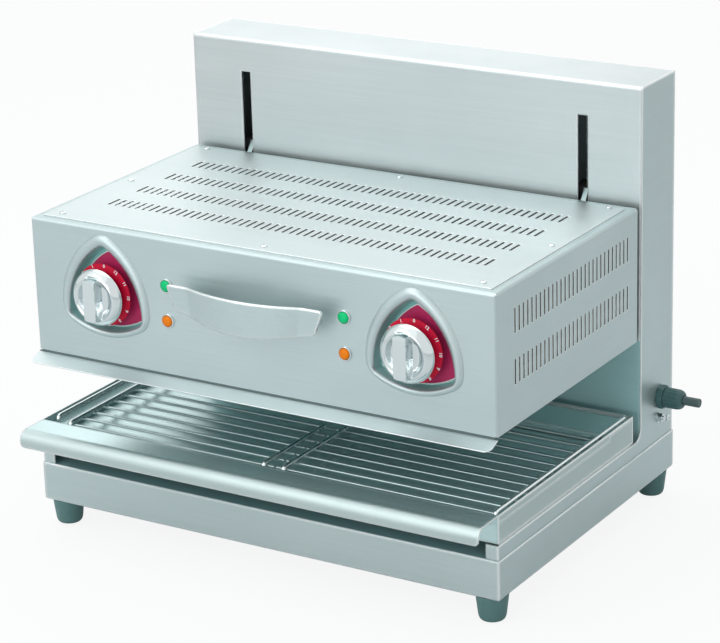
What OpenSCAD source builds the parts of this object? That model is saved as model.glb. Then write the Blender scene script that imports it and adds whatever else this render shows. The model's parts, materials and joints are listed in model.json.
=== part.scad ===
// Lift salamander grill: a heated hood rides up and down a rear column on two guide rods,
// balanced by an iron counterweight, above a drip tray that carries two wire racks.
// +X is right, -Y is the front, +Z is up. The origin lies on the floor under the middle of the case.
// All sizes are millimetres.

/* [Case] */
// Width over the side panels
body_w = 600; // [580:1:640]
// Depth of the base from its front wall to its back wall
base_d = 426; // [420:1:460]
// Height of the whole grill
total_h = 511; // [502:1:552]
// Thickness of the stainless sheet
sheet = 1.2; // [1:0.1:1.5]
// Outside radius of the folded edges of the case
fold_r = 3; // [2.5:0.5:5]
// Height of the walls of the base pan
pan_h = 47; // [40:1:55]
// Depth of the deck that is folded back from the front wall of the base pan
deck_d = 120; // [60:5:160]
// Height of the side panels above the base pan
strip_h = 17; // [14:1:24]
// Radius of the inner corner of the L-shaped side panels
corner_r = 12; // [6:1:18]
// Width of the folded flanges of the side panels
flange_w = 14; // [12:1:18]
// Depth of the column
col_d = 83; // [80:1:100]

/* [Feet] */
// Height of a rubber foot
foot_h = 30; // [25:1:45]
// Diameter of a foot at the top
foot_top_d = 37; // [32:1:38]
// Diameter of a foot at the floor
foot_floor_d = 30; // [26:1:32]
// Distance from the outer faces of the base to the middle of a foot
foot_inset = 19; // [19:1:40]
// Diameter of the screws that hold the feet
foot_screw_d = 8; // [6:1:8]

/* [Column slots] */
// Distance from the side of the column to the middle of a slot
slot_edge = 74; // [64:1:90]
// Width of a slot
slot_w = 12.5; // [11:0.5:16]
// Distance from the top of the column down to the top of a slot
slot_drop = 40; // [34:1:46]

/* [Drip tray] */
// Height of the tray above the side panels
tray_lift = 2; // [1.5:0.5:5]
// Height of the tray walls
tray_h = 33; // [27:1:40]
// Distance of the tray's front wall behind the front of the base
tray_setback = 2; // [1:0.5:6]
// Gap between the tray's back wall and the column
tray_back_gap = 20; // [12:1:30]
// Depth of the rim above the ledge that carries the racks
rim_depth = 9; // [7:0.5:12]
// Width of the ledge at the front
ledge_front = 14; // [12:1:20]
// Depth of the shelf at the back of the tray
shelf_d = 59; // [45:1:75]
// Drop of the shelf below the rim
shelf_drop = 2.7; // [2.7:0.1:5]
// Width of the ledge at each side
ledge_side = 24; // [20:1:60]
// Depth of the well below the ledge
well_depth = 5; // [3:0.5:15]
// Reach of the tray's lip in front of the base
lip_reach = 41; // [30:1:50]
// Outside radius of the rolled lip
lip_r = 12; // [8:1:16]
// Height of the lip, top to lower edge
lip_h = 19; // [17:1:24]
// Radius of the lip's lower corners
lip_corner_r = 6; // [3:0.5:7]

/* [Wire racks] */
// Diameter of the cross wires
wire_d = 3; // [2.5:0.5:5]
// Diameter of the side rods
rod_d = 5; // [4:0.5:6]
// Number of cross wires on a rack
wire_count = 12; // [8:1:12]
// Spacing of the cross wires
wire_pitch = 21.1; // [18:0.1:24]
// Distance between the two side rods of a rack
rack_span = 266; // [240:1:266]
// Reach of the wires past the outer rod
wire_outer = 3.5; // [2.5:0.5:4]
// Reach of the wires past the inner rod
wire_inner = 12; // [4:0.5:12]
// Gap between the two racks
rack_gap = 2; // [1:0.5:8]
// Room between the right-hand rack and the tray wall
rack_room = 2.3; // [1:0.1:6]
// How far the stop rail's front end stands behind the ends of the racks
rail_setback = 10; // [0:1:20]
// Distance from the tray wall to the middle of the stop rail on the left
rail_inset = 9; // [6:0.5:14]

/* [Hood] */
// Width of the hood
hood_w = 598; // [580:1:598]
// Depth of the hood
hood_d = 328; // [310:1:336]
// Height of the hood
hood_h = 158; // [150:1:166]
// Gap between the back of the hood and the column
hood_gap = 9; // [8:0.5:14]
// Clear height between the tray rim and the hood, as photographed
grill_gap = 87; // [84:1:100]
// Outside radius of the hood's folded edges
hood_r = 3.5; // [2.5:0.5:6]
// Width of the top rim left bare round the cover plate
rim_w = 11; // [8:1:14]
// Width of the flange under the cover plate
cover_flange = 36; // [30:1:40]
// Forward reach of the sloping front lip
deflector_reach = 19; // [12:1:24]
// Drop of the sloping front lip
deflector_drop = 10; // [8:1:14]
// Open seam between the hood's lower edge and the front lip
lip_seam = 2; // [1:0.5:3]
// Radius of the lower corners of the front lip
deflector_corner_r = 8; // [4:1:12]

/* [Vents] */
// Spacing of the vent slots
vent_pitch = 9.4; // [8:0.1:12]
// Width of a vent slot
vent_w = 3.6; // [2.5:0.1:5]
// Length of a slot in the hood's top
top_vent_l = 24; // [16:1:30]
// Spacing of the four rows in the top
top_row_pitch = 56; // [48:1:58]
// Distance from the hood's front to the first row
top_row_front = 74; // [60:1:80]
// Bare width beside the rows in the top
top_vent_margin = 54.6; // [46:0.2:70]
// Length of a slot in the hood's sides
side_vent_l = 28; // [20:1:32]
// Height of the lower side row above the hood's lower edge
side_row_low = 46; // [42:1:52]
// Spacing of the two side rows
side_row_pitch = 57; // [50:1:60]
// Distance from the hood's front to the first side slot
side_vent_front = 40.5; // [30:0.5:50]
// Distance from the last side slot to the hood's back
side_vent_back = 24; // [20:0.5:40]

/* [Controls] */
// Distance of each dial from the middle of the hood
dial_x = 200; // [186:1:210]
// Height of the dials above the hood's lower edge
dial_up = 81; // [78:1:84]
// Width of the raised rim round a dial
dial_rim_w = 120; // [114:1:124]
// How far the rim's middle stands above the middle of the recess
dial_rim_shift = 3.5; // [0:0.5:4]
// Width of the recess inside the rim
dial_hole_w = 99; // [92:1:100]
// Width of the dial plate at the bottom of the recess
dial_plate_w = 86; // [82:1:88]
// How far the dial plate sits below the middle of the recess
dial_plate_shift = 2.5; // [0:0.5:3]
// Depth of the recess
dial_depth = 12; // [9:0.5:16]
// Height of the raised rim
dial_rim_h = 4.5; // [3:0.5:7]
// Corner radius of the rim
dial_corner_r = 24; // [16:1:26]
// Corner radius of the recess
dial_inner_r = 7; // [5:1:10]
// Diameter of the red disc that carries the numbers
disc_d = 72; // [70:1:78]
// Distance of the disc's face in front of the hood
disc_front = 3; // [2:0.5:6]
// Gap between the disc and the knob
knob_lift = 3; // [2:0.5:6]
// Diameter of the knob's skirt
knob_skirt_d = 66; // [60:1:70]
// Diameter of the knob's rim, at the front of the skirt
knob_rim_d = 53; // [51:1:58]
// Height of the skirt
knob_skirt_h = 16; // [13:1:18]
// Height of the knob, skirt edge to grip face
knob_h = 25; // [22:1:28]
// Width of the grip bar
grip_w = 18; // [14:1:20]
// Length of the grip bar
grip_l = 51; // [44:1:51]
// Depth of the finger pockets beside the grip bar
pocket_depth = 6; // [4:0.5:7]
// Diameter of the regulator spindle
spindle_d = 6; // [5:0.5:8]
// Distance of the lamps from the middle of the hood
lamp_x = 115; // [108:1:122]
// Height of the green lamps above the hood's lower edge
lamp_green_up = 104; // [98:1:110]
// Height of the amber lamps above the hood's lower edge
lamp_amber_up = 63; // [54:1:70]
// Diameter of the lamp lens
lens_d = 13; // [10:0.5:13.5]
// Diameter of the lamp's bezel ring
bezel_d = 16.5; // [16:0.5:18]

/* [Handle] */
// Length of the handle strip along its upper edge
handle_l = 200; // [180:1:206]
// Length of the bowed part
bow_l = 148; // [120:1:150]
// Depth of the bow
bow_depth = 14; // [8:1:20]
// Height of the strip
handle_h = 40; // [30:1:44]
// Thickness of the strip
handle_t = 2; // [1.5:0.1:3]
// Gap between the hood and the wings of the strip
handle_gap = 19; // [12:1:26]
// Height of the strip's upper edge above the hood's lower edge
handle_up = 114; // [104:1:120]
// How much the lower edge rises from the middle to the ends
handle_sag = 12; // [4:1:14]
// How much shorter the lower edge is at each end
handle_taper = 8; // [0:1:12]
// Diameter of the handle's legs
leg_d = 9; // [6:0.5:12]

/* [Heating] */
// Diameter of the tubular heating elements
element_d = 8; // [6:0.5:9]
// Spacing of the straight runs of an element
run_pitch = 60; // [48:1:64]
// Number of runs in each zone
run_count = 4; // [2:2:4]
// Height of the reflector above the hood's lower edge
reflector_up = 34; // [30:1:36]
// Height of the elements above the hood's lower edge
element_up = 18; // [14:1:22]
// Thickness of the insulation slab
insulation_t = 20; // [12:1:24]

/* [Lift] */
// Upward travel of the hood from the photographed pose
lift_up = 80; // [40:1:80]
// Downward travel of the hood from the photographed pose
lift_down = 60; // [30:1:60]
// Diameter of the guide rods
guide_d = 14; // [12:0.5:16]
// Distance from the column's front panel to the middle of the guide rods
guide_setback = 23.5; // [22:0.5:26]
// Radius of the rope's path over the pulleys
rope_r = 17.5; // [15:0.5:18]
// Diameter of the wire ropes
rope_d = 3; // [2:0.5:3]
// Distance of the ropes from the middle of the column
rope_x = 120; // [100:1:124]
// Diameter of the counterweight's guide rods
weight_rod_d = 10; // [8:0.5:12]
// Distance of the counterweight's rods from the middle of the column
weight_rod_x = 158; // [154:1:170]
// Width of the counterweight
weight_w = 400; // [360:2:400]
// Thickness of the counterweight
weight_t = 28; // [20:1:28]
// Height of the counterweight
weight_h = 155; // [120:1:170]

/* [Supply] */
// Height of the cable gland above the floor
gland_z = 130; // [122:1:152]
// Distance from the column's back to the middle of the gland
gland_back = 33; // [28:1:38]
// Thread diameter of the gland
gland_d = 20; // [16:1:22]
// Diameter of the supply cable
cable_d = 10.6; // [8:0.2:11]
// Length of cable left outside the gland
cable_tail = 20; // [10:1:40]
// Diameter of the bonding stud
stud_d = 6; // [5:0.5:6]

/* [Hidden] */
$fn = 64;
// Clearances
slip = 0.03;
running = 0.06;
loose = 0.35;
hole_play = 0.2;
// Faces of the case
base_w = body_w + 2 * sheet;
base_front = (lip_reach - base_d) / 2;
base_back = base_front + base_d;
col_back = base_back - sheet;
col_front = col_back - col_d;
pan_floor = foot_h + sheet;
pan_top = foot_h + pan_h;
strip_top = pan_top + strip_h;
panel_z0 = pan_floor + fold_r;
inner_half = body_w / 2 - sheet;
foot_x = base_w / 2 - foot_inset;
foot_rows = [base_front + foot_inset, base_back - foot_inset];
slot_x = body_w / 2 - slot_edge;
// Faces of the tray
tray_z = strip_top + tray_lift;
rim_z = tray_z + tray_h;
ledge_z = rim_z - rim_depth;
tray_front = base_front + tray_setback;
tray_back = col_front - tray_back_gap;
lip_front = base_front - lip_reach;
well_x = body_w / 2 - ledge_side;
well_z = ledge_z - well_depth;
well_y0 = tray_front + ledge_front;
shelf_y = tray_back - shelf_d;
shelf_z = rim_z - shelf_drop;
// Places of the racks
rack_rod_z = rim_z;
wire_z = rack_rod_z - (rod_d + wire_d) / 2 + hole_play;
rack_leg_front = tray_front + ledge_front / 2;
rack_leg_back = tray_back - 11;
first_wire = rack_leg_front + 4.2;
rack_right_end = inner_half - rack_room;
rack_wire_l = wire_outer + rack_span + wire_inner;
rack_left_end = rack_right_end - 2 * rack_wire_l - rack_gap;
rail_x = -inner_half + rail_inset;
// Faces of the hood
hood_z0 = rim_z + grill_gap;
hood_z1 = hood_z0 + hood_h;
hood_back = col_front - hood_gap;
hood_front = hood_back - hood_d;
cover_y0 = hood_front + rim_w;
cover_y1 = hood_back - rim_w;
cover_x = hood_w / 2 - rim_w;
dial_z = hood_z0 + dial_up;
reflector_z = hood_z0 + reflector_up;
element_z = hood_z0 + element_up;
lamp_heights = [hood_z0 + lamp_green_up, hood_z0 + lamp_amber_up];
handle_z1 = hood_z0 + handle_up;
handle_z0 = handle_z1 - handle_h;
wing_y = hood_front - handle_gap - handle_t;
leg_x = (handle_l - handle_taper + bow_l) / 4 - 2;
// Screws of the cover plate: places along X and Y
screw_d = 4;
cover_screws = [
    for (s = [-1, 0, 1], y = [hood_front + 24, hood_back - 15]) [s * (hood_w / 2 - 28), y],
    for (s = [-1, 1]) [s * (hood_w / 2 - 22), (hood_front + hood_back) / 2],
];
// Places of the lift
guide_y = col_front + sheet + guide_setback;
pulley_y = guide_y + rope_r;
weight_y = guide_y + 2 * rope_r;
rail_t = 6;
rail_z = total_h - sheet - rail_t;
pulley_d = 2 * rope_r + 7;
pulley_w = 12;
pulley_z = rail_z - pulley_d / 2 - 8;
axle_d = 8;
bush_wall = 3;
bush_l = 26;
bush_d = guide_d + 2 * bush_wall;
block_w = bush_d + 14;
block_d = bush_d + 10;
arm_t = 6;
arm_z0 = hood_z0 + 76;
arm_top = hood_z1 - 10;
block_z0 = arm_z0 - 14;
block_z1 = hood_z1 + 10;
beam_t = 8;
beam_z0 = block_z0 + 4;
beam_z1 = beam_z0 + 50;
arm_plate_t = 5;
slot_z1 = total_h - slot_drop;
slot_z0 = arm_z0 - lift_down - 10;
ferrule_l = 22;
ferrule_d = 8;
weight_z0 = pan_floor + 24 + lift_up;
weight_z1 = weight_z0 + weight_h;
socket_h = 20;
// Places of the supply
gland_y = col_back - gland_back;
gland_flange_t = 8;
gland_nut_l = 23;
gland_out = body_w / 2 + gland_flange_t + gland_nut_l;
lock_nut_t = 5;
terminal_l = 30;
terminal_x1 = inner_half - 29;
stud_y = gland_y - 3.4;
stud_z = gland_z - 25;
side_screw_y = gland_y + 21.6;
side_screw_z = gland_z - 34;
// Colours
steel = [0.74, 0.79, 0.80];
bright = [0.86, 0.89, 0.90];
dark_rubber = [0.22, 0.33, 0.33];
iron = [0.30, 0.30, 0.31];
brass = [0.72, 0.58, 0.30];
crimson = [0.72, 0.05, 0.18];

// Shared shapes

// Extrudes a (Y, Z) outline along X, centred
module along_x(length) {
    rotate([90, 0, 90])
        linear_extrude(length, center = true)
            children();
}

// Extrudes an (X, Z) outline from y0 towards +Y
module along_y(y0, length) {
    translate([0, y0 + length, 0])
        rotate([90, 0, 0])
            linear_extrude(length)
                children();
}

// Box between two corners
module block(low, high) {
    translate(low)
        cube(high - low);
}

// Rectangle between two corners
module panel(low, high) {
    translate(low)
        square(high - low);
}

// Both sides of the middle plane
module both_sides() {
    children();
    mirror([1, 0, 0])
        children();
}

// Round bar along X, Y or Z from a starting point
module bar_x(start, length, d) {
    translate(start)
        rotate([0, 90, 0])
            cylinder(h = length, d = d);
}

module bar_y(start, length, d) {
    translate(start)
        rotate([-90, 0, 0])
            cylinder(h = length, d = d);
}

module bar_z(start, length, d) {
    translate(start)
        cylinder(h = length, d = d);
}

// Pan-head screw with its head above the origin and its shank below
module pan_screw(length) {
    cylinder(h = screw_d * 0.3, d = screw_d * 1.9);
    translate([0, 0, screw_d * 0.3])
        cylinder(h = screw_d * 0.25, d1 = screw_d * 1.9, d2 = screw_d * 1.2);
    translate([0, 0, -length])
        cylinder(h = length, d = screw_d);
}

// Outline of a box whose two lower corners are rounded
module round_bottom(low, high, r) {
    panel([low[0] + r, low[1]], [high[0] - r, high[1]]);
    panel([low[0], low[1] + r], high);
    for (x = [low[0] + r, high[0] - r])
        translate([x, low[1] + r])
            circle(r);
}

// Outline of a box whose two upper corners are rounded
module round_top(low, high, r) {
    panel([low[0] + r, low[1]], [high[0] - r, high[1]]);
    panel(low, [high[0], high[1] - r]);
    for (x = [low[0] + r, high[0] - r])
        translate([x, high[1] - r])
            circle(r);
}

// Point of a three-sided outline of constant width whose normal has the angle a
function tri_point(width, r, a) =
    let (side = width - 2 * r,
         corner = 90 + 120 * round((a - 90) / 120),
         from_corner = a - corner,
         on_corner = abs(from_corner) <= 30,
         middle = on_corner ? corner : from_corner > 0 ? corner + 240 : corner + 120,
         radius = on_corner ? r : side + r)
    side / sqrt(3) * [cos(middle), sin(middle)] + radius * [cos(a), sin(a)];

// Three-sided outline with rounded corners, apex up, in (X, Z)
module tri_round(width, r) {
    points = 72;
    polygon([for (i = [0 : points - 1]) tri_point(width, r, i * 360 / points)]);
}

// Base and column

module pan_body(inset) {
    intersection() {
        along_y(base_front + inset, base_d - 2 * inset)
            round_bottom([-base_w / 2 + inset, foot_h + inset], [base_w / 2 - inset, pan_top + inset],
                         fold_r - inset);
        along_x(base_w)
            round_bottom([base_front + inset, foot_h + inset], [base_back - inset, pan_top + inset],
                         fold_r - inset);
    }
}

module at_feet() {
    for (x = [-foot_x, foot_x], y = foot_rows)
        translate([x, y, 0])
            children();
}

// Deck behind the pan's front wall, notched for the front flanges of the side panels
module pan_deck() {
    half = inner_half - hole_play;
    block([-half + flange_w, base_front, pan_top - sheet], [half - flange_w, base_front + deck_d, pan_top]);
    block([-half, base_front + 2 * sheet + hole_play, pan_top - sheet], [half, base_front + deck_d, pan_top]);
}

module base_pan() {
    color(steel)
        union() {
            difference() {
                pan_body(0);
                pan_body(sheet);
                at_feet()
                    bar_z([0, 0, foot_h - 1], sheet + 2, foot_screw_d + 2 * hole_play);
            }
            pan_deck();
        }
}

// Outline of a side panel: the column part, the low strip and the rounded inner corner
module side_outline() {
    panel([col_front + fold_r, panel_z0], [col_back, total_h]);
    panel([col_front, panel_z0], [col_front + fold_r, total_h - fold_r]);
    translate([col_front + fold_r, total_h - fold_r])
        circle(fold_r);
    panel([base_front + sheet, panel_z0], [col_front, strip_top]);
    difference() {
        panel([col_front - corner_r, strip_top], [col_front, strip_top + corner_r]);
        translate([col_front - corner_r, strip_top + corner_r])
            circle(corner_r);
    }
}

// Right-hand side panel without its holes
module side_sheet() {
    translate([body_w / 2 - sheet / 2, 0, 0])
        along_x(sheet)
            side_outline();
    block([inner_half - flange_w, base_front + sheet, panel_z0],
          [inner_half, base_front + 2 * sheet, strip_top]);
    difference() {
        block([inner_half - flange_w, col_back - 2 * sheet, panel_z0],
              [inner_half, col_back - sheet, total_h - sheet]);
        at_case_screws()
            bar_y([0, -6, 0], 12, screw_d + 2 * hole_play);
    }
}

module left_side_panel() {
    color(steel)
        mirror([1, 0, 0])
            side_sheet();
}

module right_side_panel() {
    color(steel)
        difference() {
            side_sheet();
            bar_x([inner_half - 1, gland_y, gland_z], sheet + 2, gland_d + 2 * hole_play);
            bar_x([inner_half - 1, stud_y, stud_z], sheet + 2, stud_d + 2 * hole_play);
            bar_x([inner_half - 1, side_screw_y, side_screw_z], sheet + 2, screw_d + 2 * hole_play);
        }
}

// Front of the column, folded over to make its top
module column_front() {
    color(steel)
        difference() {
            along_x(2 * inner_half) {
                panel([col_front, panel_z0], [col_front + sheet, total_h - fold_r]);
                panel([col_front + fold_r, total_h - sheet], [col_back, total_h]);
                translate([col_front + fold_r, total_h - fold_r])
                    intersection() {
                        difference() {
                            circle(fold_r);
                            circle(fold_r - sheet);
                        }
                        panel([-fold_r, 0], [0, fold_r]);
                    }
            }
            for (x = [-slot_x, slot_x])
                block([x - slot_w / 2, col_front - 1, slot_z0],
                      [x + slot_w / 2, col_front + sheet + 1, slot_z1]);
        }
}

// Places of the rear cover's screws
module at_case_screws() {
    rows = 4;
    lower_room = 14;
    upper_room = 20;
    z0 = pan_top + lower_room;
    z1 = total_h - sheet - upper_room;
    for (s = [-1, 1], i = [0 : rows - 1])
        translate([s * (inner_half - flange_w / 2), col_back, z0 + (z1 - z0) * i / (rows - 1)])
            children();
}

module rear_cover() {
    vent_half = 17;
    color(steel)
        difference() {
            along_y(col_back - sheet, sheet)
                difference() {
                    panel([-inner_half, panel_z0], [inner_half, total_h - sheet]);
                    for (i = [-vent_half : vent_half], z = [total_h - 110, total_h - 160])
                        panel([i * vent_pitch - vent_w / 2, z],
                              [i * vent_pitch + vent_w / 2, z + side_vent_l]);
                }
            at_case_screws()
                bar_y([0, -6, 0], 12, screw_d + 2 * hole_play);
        }
}

module case_screws() {
    color(bright) {
        at_case_screws()
            rotate([-90, 0, 0])
                pan_screw(2 * sheet + 4);
        translate([body_w / 2, side_screw_y, side_screw_z])
            rotate([0, 90, 0])
                pan_screw(sheet + 5);
    }
}

// Size of the recess for the screw head in a foot
foot_recess_d = 2.2 * foot_screw_d;
foot_recess_h = 14;

module feet() {
    color(dark_rubber)
        at_feet()
            difference() {
                cylinder(h = foot_h, d1 = foot_floor_d, d2 = foot_top_d);
                bar_z([0, 0, -1], foot_recess_h + 1, foot_recess_d);
                bar_z([0, 0, 0], foot_h + 1, foot_screw_d + 2 * hole_play);
            }
}

module foot_screws() {
    nut_h = foot_screw_d * 0.8;
    color(bright)
        at_feet() {
            bar_z([0, 0, foot_recess_h - nut_h], nut_h, foot_screw_d * 1.8);
            bar_z([0, 0, foot_recess_h], foot_h - foot_recess_h + sheet + nut_h + 2, foot_screw_d);
            translate([0, 0, pan_floor])
                cylinder(h = nut_h, d = foot_screw_d * 1.8, $fn = 6);
        }
}

// Two angle strips on the side panels that carry the tray
module tray_runners() {
    color(steel)
        both_sides()
            translate([0, (tray_front + tray_back) / 2, 0]) {
                half = (tray_back - tray_front) / 2 - 4;
                block([inner_half - flange_w, -half, tray_z - sheet], [inner_half, half, tray_z]);
                block([inner_half - sheet, -half, pan_top], [inner_half, half, tray_z - sheet]);
            }
}

// Lift gear inside the column

module top_rail() {
    color(steel)
        block([-inner_half, col_front + sheet + fold_r, rail_z],
              [inner_half, weight_y + 14, total_h - sheet]);
}

module guide_rods() {
    color(bright)
        for (x = [-slot_x, slot_x])
            bar_z([x, guide_y, pan_floor], rail_z - pan_floor, guide_d);
}

module weight_rods() {
    color(bright)
        for (x = [-weight_rod_x, weight_rod_x])
            bar_z([x, weight_y, pan_floor], rail_z - pan_floor, weight_rod_d);
}

// Flanged socket that holds the end of a rod
module rod_socket(d) {
    difference() {
        union() {
            cylinder(h = 5, d = d + 22);
            cylinder(h = socket_h, d = d + 9);
        }
        bar_z([0, 0, -1], socket_h + 2, d + 2 * slip);
    }
}

module rod_sockets() {
    color(iron)
        for (s = [-1, 1]) {
            translate([s * slot_x, guide_y, pan_floor])
                rod_socket(guide_d);
            translate([s * slot_x, guide_y, rail_z])
                mirror([0, 0, 1])
                    rod_socket(guide_d);
            translate([s * weight_rod_x, weight_y, pan_floor])
                rod_socket(weight_rod_d);
            translate([s * weight_rod_x, weight_y, rail_z])
                mirror([0, 0, 1])
                    rod_socket(weight_rod_d);
        }
}

cheek_t = 3;
cheek_gap = 1;

module pulley_brackets() {
    color(steel)
        for (x = [-rope_x, rope_x], s = [-1, 1])
            difference() {
                translate([x + s * (pulley_w / 2 + cheek_gap + cheek_t / 2), 0, 0])
                    along_x(cheek_t) {
                        panel([pulley_y - 10, pulley_z], [pulley_y + 10, rail_z]);
                        translate([pulley_y, pulley_z])
                            circle(10);
                    }
                bar_x([x - 20, pulley_y, pulley_z], 40, axle_d + 2 * slip);
            }
}

module pulley_axles() {
    half = pulley_w / 2 + cheek_gap + cheek_t + 2;
    color(bright)
        for (x = [-rope_x, rope_x])
            bar_x([x - half, pulley_y, pulley_z], 2 * half, axle_d);
}

module pulley() {
    rotate([0, 90, 0])
        difference() {
            cylinder(h = pulley_w, d = pulley_d, center = true);
            rotate_extrude() {
                translate([rope_r, 0])
                    circle(rope_d / 2 + loose);
                polygon([[rope_r, -rope_d / 2 - loose], [rope_r, rope_d / 2 + loose],
                         [pulley_d, pulley_d / 2], [pulley_d, -pulley_d / 2]]);
            }
            cylinder(h = pulley_w + 2, d = axle_d + 2 * running, center = true);
        }
}

module pulley_left() {
    color(iron)
        translate([-rope_x, pulley_y, pulley_z])
            pulley();
}

module pulley_right() {
    color(iron)
        translate([rope_x, pulley_y, pulley_z])
            pulley();
}

// Each rope rises from the carriage, turns over its pulley and drops to the counterweight
module lift_ropes() {
    front_z = beam_z1 + ferrule_l;
    rear_z = weight_z1 + ferrule_l;
    color(bright)
        for (x = [-rope_x, rope_x]) {
            bar_z([x, guide_y, front_z], pulley_z - front_z, rope_d);
            bar_z([x, weight_y, rear_z], pulley_z - rear_z, rope_d);
            translate([x, pulley_y, pulley_z])
                rotate([90, 0, 90])
                    rotate_extrude(angle = 180)
                        translate([rope_r, 0])
                            circle(d = rope_d);
        }
}

// Supply

module terminal_block() {
    depth = 8;
    color([0.9, 0.88, 0.82])
        difference() {
            block([terminal_x1 - terminal_l, gland_y - depth, gland_z - 14],
                  [terminal_x1, col_back - sheet, gland_z + 14]);
            for (z = [-9, 0, 9])
                bar_y([terminal_x1 - terminal_l / 2, gland_y - depth - 1, gland_z + z], 6, 4.5);
        }
}

module supply_cable() {
    color([0.25, 0.33, 0.33])
        bar_x([terminal_x1, gland_y, gland_z], gland_out + cable_tail - terminal_x1, cable_d);
}

gland_bore = cable_d + 2 * hole_play;
gland_thread_l = 10;

module gland_body() {
    color(dark_rubber)
        translate([body_w / 2, gland_y, gland_z])
            rotate([0, 90, 0])
                difference() {
                    union() {
                        cylinder(h = gland_flange_t, d = gland_d * 1.42, $fn = 6);
                        translate([0, 0, -sheet - lock_nut_t - 4])
                            cylinder(h = sheet + lock_nut_t + 4, d = gland_d);
                        cylinder(h = gland_flange_t + gland_thread_l, d = gland_d - 2);
                    }
                    translate([0, 0, -20])
                        cylinder(h = 60, d = gland_bore);
                }
}

module gland_nut() {
    cone_l = 5;
    color(dark_rubber)
        translate([body_w / 2 + gland_flange_t, gland_y, gland_z])
            rotate([0, 90, 0])
                difference() {
                    union() {
                        cylinder(h = gland_nut_l - cone_l, d = gland_d + 4);
                        translate([0, 0, gland_nut_l - cone_l])
                            cylinder(h = cone_l, d1 = gland_d + 4, d2 = gland_bore + 4);
                    }
                    translate([0, 0, -1])
                        cylinder(h = gland_thread_l + 1, d = gland_d - 2 + 2 * slip);
                    cylinder(h = gland_nut_l + 1, d = gland_bore);
                }
}

module gland_lock_nut() {
    color(dark_rubber)
        translate([inner_half - lock_nut_t, gland_y, gland_z])
            rotate([0, 90, 0])
                difference() {
                    cylinder(h = lock_nut_t, d = gland_d * 1.4, $fn = 6);
                    translate([0, 0, -1])
                        cylinder(h = lock_nut_t + 2, d = gland_d + 2 * slip);
                }
}

stud_head_t = 4;
washer_t = 1.2;
stud_nut_t = 4.5;

module bonding_stud() {
    color(brass)
        translate([0, stud_y, stud_z]) {
            translate([inner_half - stud_head_t, 0, 0])
                rotate([0, 90, 0])
                    cylinder(h = stud_head_t, d = stud_d * 1.85, $fn = 6);
            bar_x([inner_half, 0, 0], sheet + washer_t + stud_nut_t + 2, stud_d);
        }
}

module bonding_nut() {
    color(bright)
        translate([body_w / 2, stud_y, stud_z])
            rotate([0, 90, 0])
                difference() {
                    union() {
                        cylinder(h = washer_t, d = stud_d * 2);
                        translate([0, 0, washer_t])
                            cylinder(h = stud_nut_t, d = stud_d * 1.85, $fn = 6);
                    }
                    translate([0, 0, -1])
                        cylinder(h = washer_t + stud_nut_t + 2, d = stud_d + 2 * slip);
                }
}

// Hood

// Rounded box of the hood, shrunk by inset and open at the bottom and back when inset
module hood_box(inset) {
    open = inset > 0 ? 1 : 0;
    half = hood_w / 2 - inset;
    y0 = hood_front + inset;
    y1 = hood_back + open;
    z0 = hood_z0 - open;
    z1 = hood_z1 - inset;
    r = hood_r - inset;
    intersection() {
        along_y(y0, y1 - y0)
            round_top([-half, z0], [half, z1], r);
        along_x(hood_w)
            round_top([y0, z0], [y1 + 2 * hood_r, z1], r);
        translate([0, 0, z0])
            linear_extrude(z1 - z0)
                round_bottom([-half, y0], [half, y1], r);
    }
}

// Slots of the hood's sides, seen from the right in (Y, Z)
module side_vents() {
    y0 = hood_front + side_vent_front;
    y1 = hood_back - side_vent_back;
    count = floor((y1 - y0) / vent_pitch + 0.05);
    for (i = [0 : count], z = [0, side_row_pitch])
        panel([y0 + i * vent_pitch - vent_w / 2, hood_z0 + side_row_low + z],
              [y0 + i * vent_pitch + vent_w / 2, hood_z0 + side_row_low + z + side_vent_l]);
}

module at_dials() {
    for (x = [-dial_x, dial_x])
        translate([x, 0, dial_z])
            children();
}

module at_lamps(heights) {
    for (x = [-lamp_x, lamp_x], z = heights)
        translate([x, hood_front, z])
            children();
}

module at_handle_legs() {
    for (x = [-leg_x, leg_x])
        translate([x, hood_front, (handle_z0 + handle_z1) / 2])
            children();
}

dial_wall = 1.2;

module hood_shell() {
    hole_w = dial_hole_w + 2 * dial_wall + 2 * hole_play;
    color(steel)
        difference() {
            hood_box(0);
            hood_box(sheet);
            block([-hood_w / 2 + cover_flange, hood_front + cover_flange, hood_z1 - 2 * sheet],
                  [hood_w / 2 - cover_flange, hood_back - cover_flange / 2, hood_z1 + 1]);
            along_x(hood_w + 2)
                side_vents();
            at_dials()
                along_y(hood_front - 1, sheet + 2)
                    tri_round(hole_w, dial_inner_r + dial_wall);
            at_lamps(lamp_heights)
                bar_y([0, -1, 0], sheet + 2, lens_d + 2);
            for (p = cover_screws)
                bar_z([p[0], p[1], hood_z1 - 2 * sheet], 3 * sheet, screw_d + 2 * hole_play);
        }
}

module at_arm_bolts() {
    bolt_reach = 13;
    bolt_inset = 12;
    for (x = [-slot_x, slot_x], s = [-1, 1], z = [arm_z0 + bolt_inset, arm_top - bolt_inset])
        translate([x + s * bolt_reach, hood_back, z])
            children();
}

bolt_d = 5;

module hood_back_panel() {
    color(steel)
        difference() {
            along_y(hood_back - sheet, sheet)
                round_top([-hood_w / 2 + sheet, hood_z0], [hood_w / 2 - sheet, hood_z1 - sheet],
                          hood_r - sheet);
            at_arm_bolts()
                bar_y([0, -sheet - 1, 0], sheet + 2, bolt_d + 2 * hole_play);
        }
}

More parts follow.
